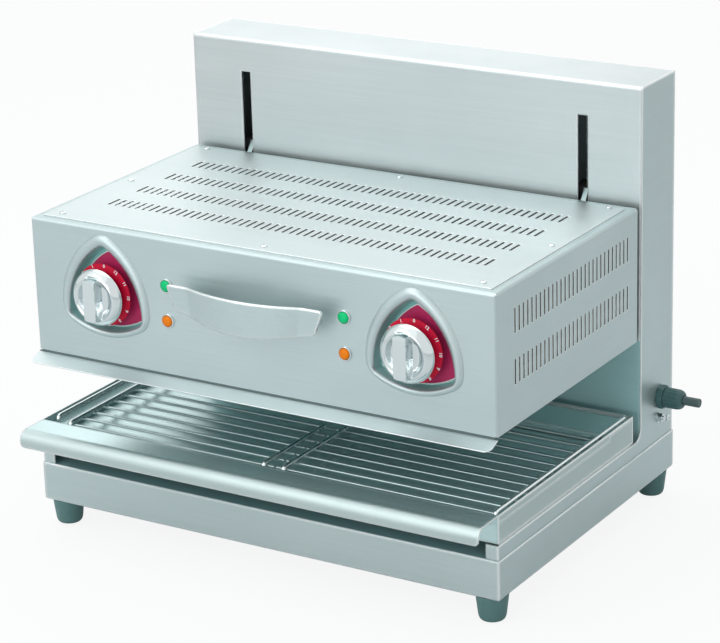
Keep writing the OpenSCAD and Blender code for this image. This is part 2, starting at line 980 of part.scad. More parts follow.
// Cover plate with its four rows of slots
module hood_top_cover() {
    half = hood_w / 2 - top_vent_margin;
    count = floor(2 * half / vent_pitch + 0.05);
    x0 = -count * vent_pitch / 2;
    color(bright)
        translate([0, 0, hood_z1])
            linear_extrude(sheet)
                difference() {
                    panel([-cover_x, cover_y0], [cover_x, cover_y1]);
                    for (row = [0 : 3], i = [0 : count])
                        translate([x0 + i * vent_pitch, hood_front + top_row_front + row * top_row_pitch])
                            panel([-vent_w / 2, 0], [vent_w / 2, top_vent_l]);
                    for (p = cover_screws)
                        translate(p)
                            circle(d = screw_d + 2 * hole_play);
                }
}

module cover_plate_screws() {
    color(bright)
        for (p = cover_screws)
            translate([p[0], p[1], hood_z1 + sheet])
                pan_screw(2 * sheet + 4);
}

// Strip under the front panel that slopes forward and down
module front_lip() {
    back_y = hood_front + 2 * sheet;
    top_z = hood_z0 - lip_seam;
    run = deflector_reach + 2 * sheet;
    drop = deflector_drop - lip_seam;
    slope_l = sqrt(pow(run, 2) + pow(drop, 2));
    flange_h = 18;
    color(steel) {
        block([-hood_w / 2 + hood_r, hood_front + sheet, top_z - sheet],
              [hood_w / 2 - hood_r, back_y, hood_z0 + flange_h]);
        translate([0, back_y, top_z])
            rotate([atan2(drop, run), 0, 0])
                translate([0, -slope_l, -sheet])
                    linear_extrude(sheet)
                        round_bottom([-hood_w / 2, 0], [hood_w / 2, slope_l], deflector_corner_r);
    }
}

// Reflector plate with downturned skirts at its front and back
module reflector() {
    skirt = 24;
    edge = 30;
    x = hood_w / 2 - sheet;
    y0 = hood_front + sheet;
    y1 = hood_back - sheet;
    color(bright)
        difference() {
            union() {
                translate([0, 0, reflector_z])
                    linear_extrude(sheet)
                        round_bottom([-x, y0], [x, y1], hood_r - sheet);
                for (y = [y0 + edge, y1 - edge])
                    block([-x, y, reflector_z - skirt], [x, y + sheet, reflector_z]);
            }
            at_element_ends()
                bar_z([0, 0, reflector_z - 1], sheet + 2, element_d + 2);
        }
}

module insulation() {
    side_room = 8;
    front_room = 12;
    color([0.92, 0.9, 0.86])
        difference() {
            block([-hood_w / 2 + side_room, run_y0 - front_room, reflector_z + sheet],
                  [hood_w / 2 - side_room, hood_back - side_room, reflector_z + sheet + insulation_t]);
            at_element_ends()
                bar_z([0, 0, reflector_z], insulation_t + 4, element_d + 6);
        }
}

// Serpentine heating element of one zone
run_x0 = 52;
run_room = 50;
run_x1 = hood_w / 2 - run_room;
run_y0 = (hood_front + hood_back) / 2 - (run_count - 1) * run_pitch / 2;
element_end_z = reflector_z + sheet + insulation_t + 12;

module at_element_ends() {
    for (s = [-1, 1], i = [0, run_count - 1])
        translate([s * run_x1, run_y0 + i * run_pitch, 0])
            children();
}

module element() {
    for (i = [0 : run_count - 1])
        bar_x([run_x0, run_y0 + i * run_pitch, element_z], run_x1 - run_x0, element_d);
    for (i = [0 : run_count - 2])
        translate([i % 2 == 0 ? run_x0 : run_x1, run_y0 + (i + 0.5) * run_pitch, element_z])
            rotate([0, 0, i % 2 == 0 ? 90 : -90])
                rotate_extrude(angle = 180)
                    translate([run_pitch / 2, 0])
                        circle(d = element_d);
    for (i = [0, run_count - 1])
        translate([run_x1, run_y0 + i * run_pitch, element_z]) {
            sphere(d = element_d);
            cylinder(h = element_end_z - element_z, d = element_d);
        }
}

module element_right() {
    color(iron)
        element();
}

module element_left() {
    color(iron)
        mirror([1, 0, 0])
            element();
}

// Drilled strips that hang the elements under the reflector
module element_hangers() {
    strip = 2;
    hang = element_d + 3;
    inner_step = 30;
    outer_step = 40;
    color(bright)
        both_sides()
            for (x = [run_x0 + inner_step, run_x1 - outer_step])
                difference() {
                    block([x, run_y0 - hang, element_z - hang / 2],
                          [x + strip, run_y0 + (run_count - 1) * run_pitch + hang, reflector_z]);
                    for (i = [0 : run_count - 1])
                        bar_x([x - 1, run_y0 + i * run_pitch, element_z], strip + 2,
                              element_d + 2 * hole_play);
                }
}

// Raised rim and recess of a dial
module dial_cup() {
    step_h = dial_rim_h * 0.6;
    step_w = 6;
    difference() {
        union() {
            along_y(hood_front - step_h, step_h)
                translate([0, dial_rim_shift])
                    tri_round(dial_rim_w, dial_corner_r);
            along_y(hood_front - dial_rim_h, dial_rim_h)
                translate([0, dial_rim_shift])
                    tri_round(dial_rim_w - step_w, dial_corner_r - step_w / 2);
            along_y(hood_front, dial_depth + dial_wall)
                tri_round(dial_hole_w + 2 * dial_wall, dial_inner_r + dial_wall);
        }
        along_y(hood_front - dial_rim_h - 1, dial_rim_h + dial_depth + 1)
            tri_round(dial_hole_w, dial_inner_r);
        bar_y([0, hood_front, 0], 2 * dial_depth, spindle_d + 3);
    }
}

module dial_cups() {
    color(bright)
        at_dials()
            dial_cup();
}

plate_t = 1;

module dial_plates() {
    plate_r = 4;
    color(crimson)
        at_dials()
            along_y(hood_front + dial_depth - plate_t, plate_t)
                difference() {
                    translate([0, -dial_plate_shift])
                        tri_round(dial_plate_w, plate_r);
                    circle(d = spindle_d + 3);
                }
}

regulator_y = hood_front + dial_depth + dial_wall;
regulator_d = 34;

module regulators() {
    size = 40;
    color([0.9, 0.88, 0.82])
        at_dials()
            difference() {
                block([-size / 2, regulator_y, -size / 2],
                      [size / 2, regulator_y + regulator_d, size / 2]);
                bar_y([0, regulator_y - 1, 0], regulator_d / 2 + 1, spindle_d + 2 * running);
            }
}

disc_t = 2;
disc_y = hood_front - disc_front;
knob_y = disc_y - knob_lift;
hub_d = 30;
hub_y = hood_front + dial_depth - plate_t - 1;
knob_cap = 6;

// Red disc with the numbers, on a hub between the dial plate and the knob
module number_disc(x) {
    color(crimson)
        translate([x, 0, dial_z])
            difference() {
                union() {
                    bar_y([0, disc_y, 0], disc_t, disc_d);
                    bar_y([0, knob_y, 0], hub_y - knob_y, hub_d);
                }
                bar_y([0, knob_y - 1, 0], hub_y - knob_y + 2, spindle_d + 2 * slip);
            }
}

module number_disc_left() {
    number_disc(-dial_x);
}

module number_disc_right() {
    number_disc(dial_x);
}

// Skirted knob with a straight grip bar between two finger pockets, hollow behind
module knob(x) {
    edge_h = knob_skirt_h * 0.4;
    wall = 3;
    pocket_z = knob_skirt_h - pocket_depth;
    pocket_d = knob_rim_d - 5;
    color(bright)
        translate([x, knob_y, dial_z])
            rotate([90, 0, 0])
                difference() {
                    union() {
                        cylinder(h = edge_h, d = knob_skirt_d);
                        translate([0, 0, edge_h])
                            cylinder(h = knob_skirt_h - edge_h, d1 = knob_skirt_d, d2 = knob_rim_d);
                        intersection() {
                            cylinder(h = knob_h, d = grip_l);
                            block([-grip_w / 2, -grip_l, 0], [grip_w / 2, grip_l, knob_h]);
                        }
                    }
                    difference() {
                        translate([0, 0, pocket_z])
                            cylinder(h = pocket_depth + 1, d = pocket_d);
                        block([-grip_w / 2, -grip_l, 0], [grip_w / 2, grip_l, knob_h]);
                    }
                    difference() {
                        translate([0, 0, -1])
                            cylinder(h = pocket_z - wall + 1, d = knob_skirt_d - 2 * wall);
                        cylinder(h = pocket_z, d = hub_d);
                    }
                    translate([0, 0, -1])
                        cylinder(h = knob_h - knob_cap + 1, d = spindle_d + 2 * slip);
                }
}

module knob_left() {
    knob(-dial_x);
}

module knob_right() {
    knob(dial_x);
}

// Spindle that runs from the knob into the regulator
module spindle(x) {
    y0 = knob_y - knob_h + knob_cap;
    color(brass)
        bar_y([x, y0, dial_z], regulator_y + regulator_d / 2 - y0, spindle_d);
}

module spindle_left() {
    spindle(-dial_x);
}

module spindle_right() {
    spindle(dial_x);
}

bezel_t = 2.5;

module lamp_bodies() {
    color(bright)
        at_lamps(lamp_heights)
            difference() {
                union() {
                    bar_y([0, -bezel_t, 0], bezel_t, bezel_d);
                    bar_y([0, 0, 0], 22, lens_d + 1.6);
                }
                bar_y([0, -bezel_t - 1, 0], bezel_t + 1, lens_d + 2 * slip);
            }
}

// Domed lens seated in its bezel
module lens() {
    bar_y([0, -bezel_t - 1, 0], bezel_t + 1, lens_d);
    translate([0, -bezel_t - 1, 0])
        rotate([90, 0, 0])
            cylinder(h = 1.4, d1 = lens_d, d2 = lens_d * 0.6);
}

module green_lenses() {
    color([0.05, 0.6, 0.35])
        at_lamps([lamp_heights[0]])
            lens();
}

module amber_lenses() {
    color([0.95, 0.5, 0.05])
        at_lamps([lamp_heights[1]])
            lens();
}

// Outline of the handle strip from above: a bow between two flat wings
module handle_outline() {
    r = (pow(bow_l / 2, 2) + pow(bow_depth, 2)) / (2 * bow_depth);
    intersection() {
        translate([0, wing_y - bow_depth + r])
            difference() {
                circle(r, $fn = 200);
                circle(r - handle_t, $fn = 200);
            }
        panel([-bow_l / 2, wing_y - bow_depth - 1], [bow_l / 2, wing_y + handle_t]);
    }
    for (s = [-1, 1])
        translate([s * (bow_l + handle_l) / 4, wing_y + handle_t / 2])
            square([(handle_l - bow_l) / 2 + 0.2, handle_t], center = true);
}

// Front outline of the strip: shorter below, with rounded corners
module handle_face() {
    upper_r = 3;
    lower_r = 5;
    half = handle_l / 2 - handle_taper;
    sag_r = (pow(half, 2) + pow(handle_sag, 2)) / (2 * handle_sag);
    hull() {
        for (s = [-1, 1]) {
            translate([s * (handle_l / 2 - upper_r), handle_z1 - upper_r])
                circle(upper_r, $fn = 32);
            translate([s * (half - lower_r), handle_z0 + handle_sag + lower_r])
                circle(lower_r, $fn = 32);
        }
        intersection() {
            translate([0, handle_z0 + sag_r])
                circle(sag_r, $fn = 240);
            panel([-half + 2 * lower_r, handle_z0 - 1], [half - 2 * lower_r, handle_z1 - upper_r]);
        }
    }
}

module handle() {
    color(bright)
        intersection() {
            translate([0, 0, handle_z0])
                linear_extrude(handle_h)
                    handle_outline();
            along_y(wing_y - bow_depth - 1, bow_depth + handle_t + 2)
                handle_face();
        }
}

module handle_legs() {
    color(bright)
        at_handle_legs()
            bar_y([0, -handle_gap, 0], handle_gap, leg_d);
}

// Carriage

module carriage() {
    color(iron)
        difference() {
            union() {
                for (x = [-slot_x, slot_x])
                    block([x - block_w / 2, guide_y - block_d / 2, block_z0],
                          [x + block_w / 2, guide_y + block_d / 2, block_z1]);
                block([-slot_x, guide_y - beam_t / 2, beam_z0], [slot_x, guide_y + beam_t / 2, beam_z1]);
            }
            for (x = [-slot_x, slot_x])
                bar_z([x, guide_y, block_z0 - 1], block_z1 - block_z0 + 2, bush_d + 2 * slip);
        }
}

module carriage_bushes() {
    color(brass)
        for (x = [-slot_x, slot_x], z = [block_z0, block_z1 - bush_l])
            translate([x, guide_y, z])
                difference() {
                    cylinder(h = bush_l, d = bush_d);
                    bar_z([0, 0, -1], bush_l + 2, guide_d + 2 * running);
                }
}

// Arms that pass through the column's slots, with plates bolted to the hood
module lift_arms() {
    block_y = guide_y - block_d / 2;
    plate_half = 20;
    color(steel)
        difference() {
            for (x = [-slot_x, slot_x])
                translate([x, 0, 0]) {
                    block([-plate_half, hood_back, arm_z0],
                          [plate_half, hood_back + arm_plate_t, arm_top]);
                    along_x(arm_t)
                        polygon([[hood_back + arm_plate_t, arm_z0], [block_y, arm_z0], [block_y, block_z1],
                                 [hood_back + arm_plate_t, arm_top]]);
                }
            at_arm_bolts()
                bar_y([0, -1, 0], arm_plate_t + 2, bolt_d + 2 * hole_play);
        }
}

module arm_bolts() {
    head_t = 3.5;
    color(bright)
        at_arm_bolts() {
            bar_y([0, -sheet, 0], sheet + arm_plate_t, bolt_d);
            translate([0, -sheet, 0])
                rotate([90, 0, 0])
                    cylinder(h = head_t, d = bolt_d * 1.8, $fn = 6);
        }
}

module rope_end(y, z) {
    for (x = [-rope_x, rope_x])
        bar_z([x, y, z], ferrule_l, ferrule_d);
}

module carriage_rope_ends() {
    color(bright)
        rope_end(guide_y, beam_z1);
}

module weight_rope_ends() {
    color(bright)
        rope_end(weight_y, weight_z1);
}

module counterweight() {
    color(iron)
        difference() {
            block([-weight_w / 2, weight_y - weight_t / 2, weight_z0],
                  [weight_w / 2, weight_y + weight_t / 2, weight_z1]);
            for (x = [-weight_rod_x, weight_rod_x])
                bar_z([x, weight_y, weight_z0 - 1], weight_h + 2, weight_rod_d + 2 * loose);
        }
}

// Tray and racks

// Rolled lip of the tray, (Y, Z) outline
module lip_outline() {
    panel([lip_front + lip_r, rim_z - sheet], [tray_front + sheet, rim_z]);
    panel([lip_front, rim_z - lip_h], [lip_front + sheet, rim_z - lip_r]);
    translate([lip_front + lip_r, rim_z - lip_r])
        intersection() {
            difference() {
                circle(lip_r);
                circle(lip_r - sheet);
            }
            panel([-lip_r, 0], [0, lip_r]);
        }
}

module drip_tray() {
    half = body_w / 2;
    color(steel)
        union() {
            intersection() {
                along_x(body_w)
                    lip_outline();
                along_y(lip_front - 1, lip_reach + tray_setback + 4)
                    round_bottom([-half, rim_z - lip_h], [half, rim_z], lip_corner_r);
            }
            difference() {
                block([-half, tray_front, tray_z], [half, tray_back, rim_z]);
                block([-half + sheet, tray_front + sheet, ledge_z],
                      [half - sheet, shelf_y, rim_z + 1]);
                block([-half + sheet, shelf_y - 1, shelf_z],
                      [half - sheet, tray_back - sheet, rim_z + 1]);
                block([-well_x, well_y0, well_z], [well_x, shelf_y, rim_z]);
                difference() {
                    block([-half + sheet, tray_front + sheet, tray_z + sheet],
                          [half - sheet, tray_back - sheet, ledge_z - sheet]);
                    block([-well_x - sheet, well_y0 - sheet, well_z - sheet],
                          [well_x + sheet, shelf_y + sheet, rim_z]);
                }
                block([-half + sheet, shelf_y + sheet, tray_z + sheet],
                      [half - sheet, tray_back - sheet, shelf_z - sheet]);
                block([-half + flange_w, tray_front + flange_w, tray_z - 1],
                      [half - flange_w, tray_back - flange_w, tray_z + sheet + 1]);
            }
        }
}

// Rod along Y at rim height, bent down in front to stand on the ledge, with its back end on the shelf
module bent_rod(x, front) {
    bar_y([x, front, rack_rod_z], rack_leg_back - front, rod_d);
    for (foot = [[front, ledge_z], [rack_leg_back, shelf_z]]) {
        translate([x, foot[0], rack_rod_z])
            sphere(d = rod_d);
        bar_z([x, foot[0], foot[1]], rack_rod_z - foot[1], rod_d);
    }
}

module rack_stop_rail() {
    color(bright)
        bent_rod(rail_x, rack_leg_front + rail_setback);
}

// Rack on the right of its outer end; the other rack is the same one turned round
module rack_wires(x0, outer_reach) {
    bent_rod(x0 + outer_reach, rack_leg_front);
    bent_rod(x0 + outer_reach + rack_span, rack_leg_front);
    for (i = [0 : wire_count - 1])
        bar_x([x0, first_wire + i * wire_pitch, wire_z], rack_wire_l, wire_d);
}

module rack_left() {
    color(bright)
        rack_wires(rack_left_end, wire_outer);
}

module rack_right() {
    color(bright)
        rack_wires(rack_right_end - rack_wire_l, wire_inner);
}

base_pan();
left_side_panel();
right_side_panel();
column_front();
rear_cover();
case_screws();
feet();
foot_screws();
tray_runners();
top_rail();
guide_rods();
weight_rods();
rod_sockets();
pulley_brackets();
pulley_axles();
lift_ropes();
terminal_block();
supply_cable();
gland_body();
gland_nut();
gland_lock_nut();
bonding_stud();
bonding_nut();
hood_shell();
hood_back_panel();
hood_top_cover();
cover_plate_screws();
front_lip();
reflector();
insulation();
element_left();
element_right();
element_hangers();
dial_cups();
dial_plates();
regulators();
lamp_bodies();
green_lenses();
amber_lenses();
handle();
handle_legs();
carriage();
carriage_bushes();
lift_arms();
arm_bolts();
carriage_rope_ends();
counterweight();
weight_rope_ends();
pulley_left();
pulley_right();
knob_left();
number_disc_left();
spindle_left();
knob_right();
number_disc_right();
spindle_right();
drip_tray();
rack_stop_rail();
rack_left();
rack_right();
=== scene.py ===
import json
import math

import bmesh
import bpy
from mathutils import Matrix, Vector


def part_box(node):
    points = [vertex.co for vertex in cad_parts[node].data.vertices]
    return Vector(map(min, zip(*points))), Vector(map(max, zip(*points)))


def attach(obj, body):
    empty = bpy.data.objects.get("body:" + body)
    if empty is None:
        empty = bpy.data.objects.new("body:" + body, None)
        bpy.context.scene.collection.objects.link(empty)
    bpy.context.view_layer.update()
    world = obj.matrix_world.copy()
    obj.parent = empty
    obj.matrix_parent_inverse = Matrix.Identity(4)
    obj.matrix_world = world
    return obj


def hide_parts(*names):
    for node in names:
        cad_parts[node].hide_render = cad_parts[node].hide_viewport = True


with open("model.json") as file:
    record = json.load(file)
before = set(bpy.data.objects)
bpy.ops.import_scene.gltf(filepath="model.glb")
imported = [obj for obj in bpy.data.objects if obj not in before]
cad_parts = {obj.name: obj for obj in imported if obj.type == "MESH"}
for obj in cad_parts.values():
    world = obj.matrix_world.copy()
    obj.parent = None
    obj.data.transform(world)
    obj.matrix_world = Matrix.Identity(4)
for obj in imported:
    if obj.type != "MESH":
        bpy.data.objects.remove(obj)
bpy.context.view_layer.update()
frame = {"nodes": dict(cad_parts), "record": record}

# Lift salamander grill. Lengths are metres in the CAD frame: +X right, -Y front, +Z up.
MM = 0.001
HOOD_LOW, HOOD_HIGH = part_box("hood_shell")
HOOD_FRONT = HOOD_LOW.y
DIAL_X = 200 * MM
DIAL_Z = HOOD_LOW.z + 81 * MM


# Node trees

def place_node(tree, kind, inputs=None, **settings):
    """Adds a shader node; a socket given as an input is linked, any other value is set."""
    made = tree.nodes.new("ShaderNode" + kind)
    for key, value in settings.items():
        setattr(made, key, value)
    for key, value in (inputs or {}).items():
        if isinstance(value, bpy.types.NodeSocket):
            tree.links.new(value, made.inputs[key])
        else:
            made.inputs[key].default_value = value
    return made


def math_node(tree, operation, first, second=0.0, clamp=False):
    made = place_node(tree, "Math", {0: first, 1: second}, operation=operation, use_clamp=clamp)
    return made.outputs[0]


def vector_scale(tree, vector, factors):
    made = place_node(tree, "VectorMath", {0: vector, 1: factors}, operation="MULTIPLY")
    return made.outputs[0]


def value_range(tree, value, low, high, start=0.0, end=1.0):
    """Maps a value from start..end to low..high."""
    made = place_node(tree, "MapRange", {"Value": value, "From Min": start, "From Max": end,
                                         "To Min": low, "To Max": high})
    return made.outputs["Result"]


def colour_mix(tree, factor, first, second):
    made = place_node(tree, "Mix", {0: factor, 6: first, 7: second}, data_type="RGBA")
    return made.outputs[2]


def value_mix(tree, factor, first, second):
    return place_node(tree, "Mix", {0: factor, 2: first, 3: second}, data_type="FLOAT").outputs[0]


def noise(tree, vector, scale, detail=2.0, roughness=0.5):
    made = place_node(tree, "TexNoise", {"Vector": vector, "Scale": scale, "Detail": detail,
                                         "Roughness": roughness})
    return made.outputs[0]


def start_group(name, inputs, outputs):
    """A shader node group with float inputs, given with their defaults, and typed outputs."""
    tree = bpy.data.node_groups.new(name, "ShaderNodeTree")
    for label, value in inputs.items():
        socket = tree.interface.new_socket(label, in_out="INPUT", socket_type="NodeSocketFloat")
        socket.default_value = value
    for label, kind in outputs.items():
        tree.interface.new_socket(label, in_out="OUTPUT", socket_type="NodeSocket" + kind)
    entry = tree.nodes.new("NodeGroupInput")
    leave = tree.nodes.new("NodeGroupOutput")
    return tree, entry, leave


def use_group(tree, group, inputs=None):
    made = tree.nodes.new("ShaderNodeGroup")
    made.node_tree = group
    for key, value in (inputs or {}).items():
        made.inputs[key].default_value = value
    return made.outputs


def brushed_grain_group():
    """Fine streaks along X, or along Y on faces that look sideways, and a slow change of tone."""
    tree, entry, leave = start_group("brushed_grain", {"Fineness": 900.0, "Streak": 7.0},
                                     {"Grain": "Float", "Cloud": "Float"})
    place = place_node(tree, "TexCoord").outputs["Object"]
    facing = place_node(tree, "NewGeometry").outputs["Normal"]
    sideways = place_node(tree, "SeparateXYZ", {0: facing}).outputs[0]
    is_side = math_node(tree, "GREATER_THAN", math_node(tree, "ABSOLUTE", sideways), 0.7)
    fine = entry.outputs["Fineness"]
    streak = entry.outputs["Streak"]
    along_x = place_node(tree, "CombineXYZ", {0: streak, 1: fine, 2: fine}).outputs[0]
    along_y = place_node(tree, "CombineXYZ", {0: fine, 1: streak, 2: fine}).outputs[0]
    factors = place_node(tree, "Mix", {0: is_side, 4: along_x, 5: along_y}, data_type="VECTOR").outputs[1]
    grain = noise(tree, vector_scale(tree, place, factors), 1.0, 3.0, 0.6)
    cloud = noise(tree, vector_scale(tree, place, (4.0, 7.0, 7.0)), 1.0, 2.0)
    tree.links.new(grain, leave.inputs["Grain"])
    tree.links.new(cloud, leave.inputs["Cloud"])
    return tree


def soft_edge_group():
    """Normal that rounds sharp edges, and a mask along them."""
    tree, entry, leave = start_group("soft_edge", {"Radius": 0.0011}, {"Normal": "Vector", "Edge": "Float"})
    rounded = place_node(tree, "Bevel", {"Radius": entry.outputs["Radius"]}, samples=4).outputs[0]
    facing = place_node(tree, "NewGeometry").outputs["Normal"]
    same = place_node(tree, "VectorMath", {0: rounded, 1: facing}, operation="DOT_PRODUCT").outputs["Value"]
    at_edge = 0.93
    on_flat = 0.995
    edge = value_range(tree, same, 1.0, 0.0, at_edge, on_flat)
    tree.links.new(rounded, leave.inputs["Normal"])
    tree.links.new(edge, leave.inputs["Edge"])
    return tree


def handling_group():
    """Faint patches left by wiping and handling."""
    tree, entry, leave = start_group("handling", {"Size": 22.0}, {"Patch": "Float"})
    place = place_node(tree, "TexCoord").outputs["Object"]
    broad = noise(tree, place, entry.outputs["Size"], 3.0, 0.55)
    patch = value_range(tree, broad, 0.0, 1.0, 0.48, 0.72)
    tree.links.new(patch, leave.inputs["Patch"])
    return tree


def speckle_group():
    """Pebbled surface of mouldings, castings and enamel."""
    tree, entry, leave = start_group("speckle", {"Size": 900.0}, {"Height": "Float", "Tone": "Float"})
    place = place_node(tree, "TexCoord").outputs["Object"]
    pebble = noise(tree, place, entry.outputs["Size"], 2.0, 0.6)
    tone = noise(tree, place, 60.0, 3.0, 0.6)
    tree.links.new(pebble, leave.inputs["Height"])
    tree.links.new(tone, leave.inputs["Tone"])
    return tree


def inside_box_group():
    """Mask of what lies inside a box, in the object's own coordinates, with its own softness along Y."""
    limits = {"Low X": -1.0, "High X": 1.0, "Low Y": -1.0, "High Y": 1.0, "Low Z": -1.0, "High Z": 1.0}
    sharp = 0.0004
    tree, entry, leave = start_group("inside_box", {**limits, "Soft Y": sharp}, {"Mask": "Float"})
    place = place_node(tree, "TexCoord").outputs["Object"]
    parts = place_node(tree, "SeparateXYZ", {0: place}).outputs
    mask = None
    for axis, label in enumerate("XYZ"):
        soft = entry.outputs["Soft Y"] if label == "Y" else sharp
        over = math_node(tree, "SUBTRACT", parts[axis], entry.outputs["Low " + label])
        under = math_node(tree, "SUBTRACT", entry.outputs["High " + label], parts[axis])
        above = math_node(tree, "DIVIDE", over, soft, True)
        below = math_node(tree, "DIVIDE", under, soft, True)
        both = math_node(tree, "MULTIPLY", above, below)
        mask = both if mask is None else math_node(tree, "MULTIPLY", mask, both)
    tree.links.new(mask, leave.inputs["Mask"])
    return tree


GRAIN = brushed_grain_group()
SOFT_EDGE = soft_edge_group()
HANDLING = handling_group()
SPECKLE = speckle_group()
INSIDE_BOX = inside_box_group()


# Finishes

def start_material(name, **constants):
    """A material with a Principled shader whose even values are set on its own sockets."""
    made = bpy.data.materials.new(name)
    made.use_nodes = True
    tree = made.node_tree
    shader = tree.nodes["Principled BSDF"]
    for label, value in constants.items():
        shader.inputs[label.replace("_", " ")].default_value = value
    return made, tree, shader


def add_bump(tree, shader, height, strength, distance, normal=None):
    inputs = {"Strength": strength, "Distance": distance, "Height": height}
    if normal is not None:
        inputs["Normal"] = normal
    bump = place_node(tree, "Bump", inputs)
    tree.links.new(bump.outputs[0], shader.inputs["Normal"])


# Pale colour along edges: partly wear, mostly a painted highlight on folds and sheet edges.
WEAR_AND_HIGHLIGHT_EDGE = (0.97, 0.99, 0.99, 1)
GRAIN_SPAN = (0.25, 0.75)


def painted_light_layer(box, dark, light, metallic, rough):
    """Colour painted over a sheet inside a box, standing for the light and shade there: two tones, metallic
    share and span of roughness.
    """
    return {"box": box, "dark": dark, "light": light, "metallic": metallic, "rough": rough}


def sheet_metal(name, dark, light, rough, metallic=0.92, grain_depth=0.1, edge=0.0011, painted_light_layers=()):
    """Brushed steel: streaks, slow tone, wiped patches, pale edges that are partly wear and mostly a painted
    highlight, and layers of painted light and shade inside boxes.
    """
    grain_share = 0.55
    wiped_rise = 0.05
    edge_shine = -0.1
    made, tree, shader = start_material(name)
    grain = use_group(tree, GRAIN)
    edges = use_group(tree, SOFT_EDGE, {"Radius": edge})
    patch = use_group(tree, HANDLING)["Patch"]
    streaks = math_node(tree, "MULTIPLY", grain["Grain"], grain_share)
    clouds = math_node(tree, "MULTIPLY", grain["Cloud"], 1 - grain_share)
    tone = value_range(tree, math_node(tree, "ADD", streaks, clouds), 0.0, 1.0, 0.3, 0.7)
    base = colour_mix(tree, tone, (*dark, 1), (*light, 1))
    # Painted highlight: along edges the colour turns pale and the metal share rises to full.
    base = colour_mix(tree, edges["Edge"], base, WEAR_AND_HIGHLIGHT_EDGE)
    metal = value_range(tree, edges["Edge"], metallic, 1.0)
    spread = value_range(tree, grain["Grain"], *rough, *GRAIN_SPAN)
    wiped = math_node(tree, "ADD", spread, math_node(tree, "MULTIPLY", patch, wiped_rise))
    roughness = math_node(tree, "ADD", wiped, math_node(tree, "MULTIPLY", edges["Edge"], edge_shine))
    # Layers of painted light and shade, each inside its box.
    for layer in painted_light_layers:
        mask = use_group(tree, INSIDE_BOX, layer["box"])["Mask"]
        layer_base = colour_mix(tree, tone, (*layer["dark"], 1), (*layer["light"], 1))
        layer_rough = value_range(tree, grain["Grain"], *layer["rough"], *GRAIN_SPAN)
        base = colour_mix(tree, mask, base, layer_base)
        metal = value_mix(tree, mask, metal, layer["metallic"])
        roughness = value_mix(tree, mask, roughness, layer_rough)
    tree.links.new(base, shader.inputs["Base Color"])
    tree.links.new(metal, shader.inputs["Metallic"])
    tree.links.new(roughness, shader.inputs["Roughness"])
    add_bump(tree, shader, grain["Grain"], grain_depth, 0.0002, edges["Normal"])
    return made


def smooth_metal(name, dark, light, rough, scratch=0.05):
    """Polished or plated metal with hairline scratches and wiped patches."""
    made, tree, shader = start_material(name, Metallic=1.0)
    grain = use_group(tree, GRAIN, {"Fineness": 1500.0, "Streak": 60.0})
    patch = use_group(tree, HANDLING, {"Size": 70.0})["Patch"]
    base = colour_mix(tree, grain["Cloud"], (*dark, 1), (*light, 1))
    tree.links.new(base, shader.inputs["Base Color"])
    spread = value_range(tree, patch, rough[0], rough[1])
    tree.links.new(spread, shader.inputs["Roughness"])
    add_bump(tree, shader, grain["Grain"], scratch, 0.0001)
    return made


def moulded(name, dark, light, rough, depth=0.25, size=900.0, **constants):
    """Rubber, plastic, ceramic, enamel or cast surface with a pebbled skin."""
    made, tree, shader = start_material(name, **constants)
    skin = use_group(tree, SPECKLE, {"Size": size})
    patch = use_group(tree, HANDLING, {"Size": 40.0})["Patch"]
    base = colour_mix(tree, skin["Tone"], (*dark, 1), (*light, 1))
    tree.links.new(base, shader.inputs["Base Color"])
    tree.links.new(value_range(tree, patch, rough[0], rough[1]), shader.inputs["Roughness"])
    add_bump(tree, shader, skin["Height"], depth, 0.0003)
    return made


def lens(name, middle, rim):
    """Lamp lens: clear colour in the middle, darker where it turns away, with a pebbled skin."""
    made, tree, shader = start_material(name, Roughness=0.3, Specular_IOR_Level=0.2)
    turned = place_node(tree, "LayerWeight", {"Blend": 0.35}).outputs["Facing"]
    base = colour_mix(tree, turned, (*middle, 1), (*rim, 1))
    tree.links.new(base, shader.inputs["Base Color"])
    skin = use_group(tree, SPECKLE, {"Size": 500.0})
    add_bump(tree, shader, skin["Height"], 0.05, 0.0003)
    return made


def inside_limits(node, inset=0.6 * MM):
    """Limits of the room inside a sheet vessel, set in from its outer faces by half a wall."""
    low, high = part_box(node)
    return {"Low X": low.x + inset, "High X": high.x - inset, "Low Y": low.y + inset,
            "High Y": high.y - inset, "Low Z": low.z + inset}


TRAY_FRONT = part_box("drip_tray")[0].y
TRAY_ROOM = {**inside_limits("drip_tray"), "Low Y": TRAY_FRONT + 7 * MM, "Soft Y": 6 * MM}
# Drip tray inside: a smoother, more reflective floor, and a lighter teal colour with a smaller metal share
# that lifts the shade under the hood: painted light.
TRAY_POLISH_AND_PAINTED_LIGHT = painted_light_layer(TRAY_ROOM, (0.49, 0.66, 0.66), (0.57, 0.74, 0.74), 0.7, (0.2, 0.28))
# Painted shade: inside the base pan, seen through the front slot, the steel turns teal and nearly non-metal
# so its shade reads as a teal gradient.
PAN_SHADE = painted_light_layer(inside_limits("base_pan"), (0.25, 0.44, 0.45), (0.33, 0.52, 0.53), 0.2, (0.4, 0.5))
# Painted light: the column front below the hood, in the hood's shade, turns a lighter teal and nearly
# non-metal.
COLUMN_PAINTED_LIGHT = painted_light_layer({"High Z": 214 * MM}, (0.4, 0.66, 0.66), (0.48, 0.74, 0.74), 0.2, (0.4, 0.5))
# Painted shade: a dark colour on the lip just behind the hood's lower edge, where the seam lies in shade.
SEAM_ROOM = {"Low Y": HOOD_FRONT - 0.4 * MM, "Low Z": HOOD_LOW.z - 6 * MM}
LIP_SEAM_PAINTED_SHADE = painted_light_layer(SEAM_ROOM, (0.12, 0.17, 0.17), (0.15, 0.21, 0.21), 0.2, (0.5, 0.6))
FOLDED = {"dark": (0.43, 0.515, 0.52), "light": (0.51, 0.6, 0.605), "rough": (0.36, 0.48), "edge": 0.004}
SATIN = {"dark": (0.53, 0.6, 0.605), "light": (0.6, 0.67, 0.675), "rough": (0.42, 0.52)}
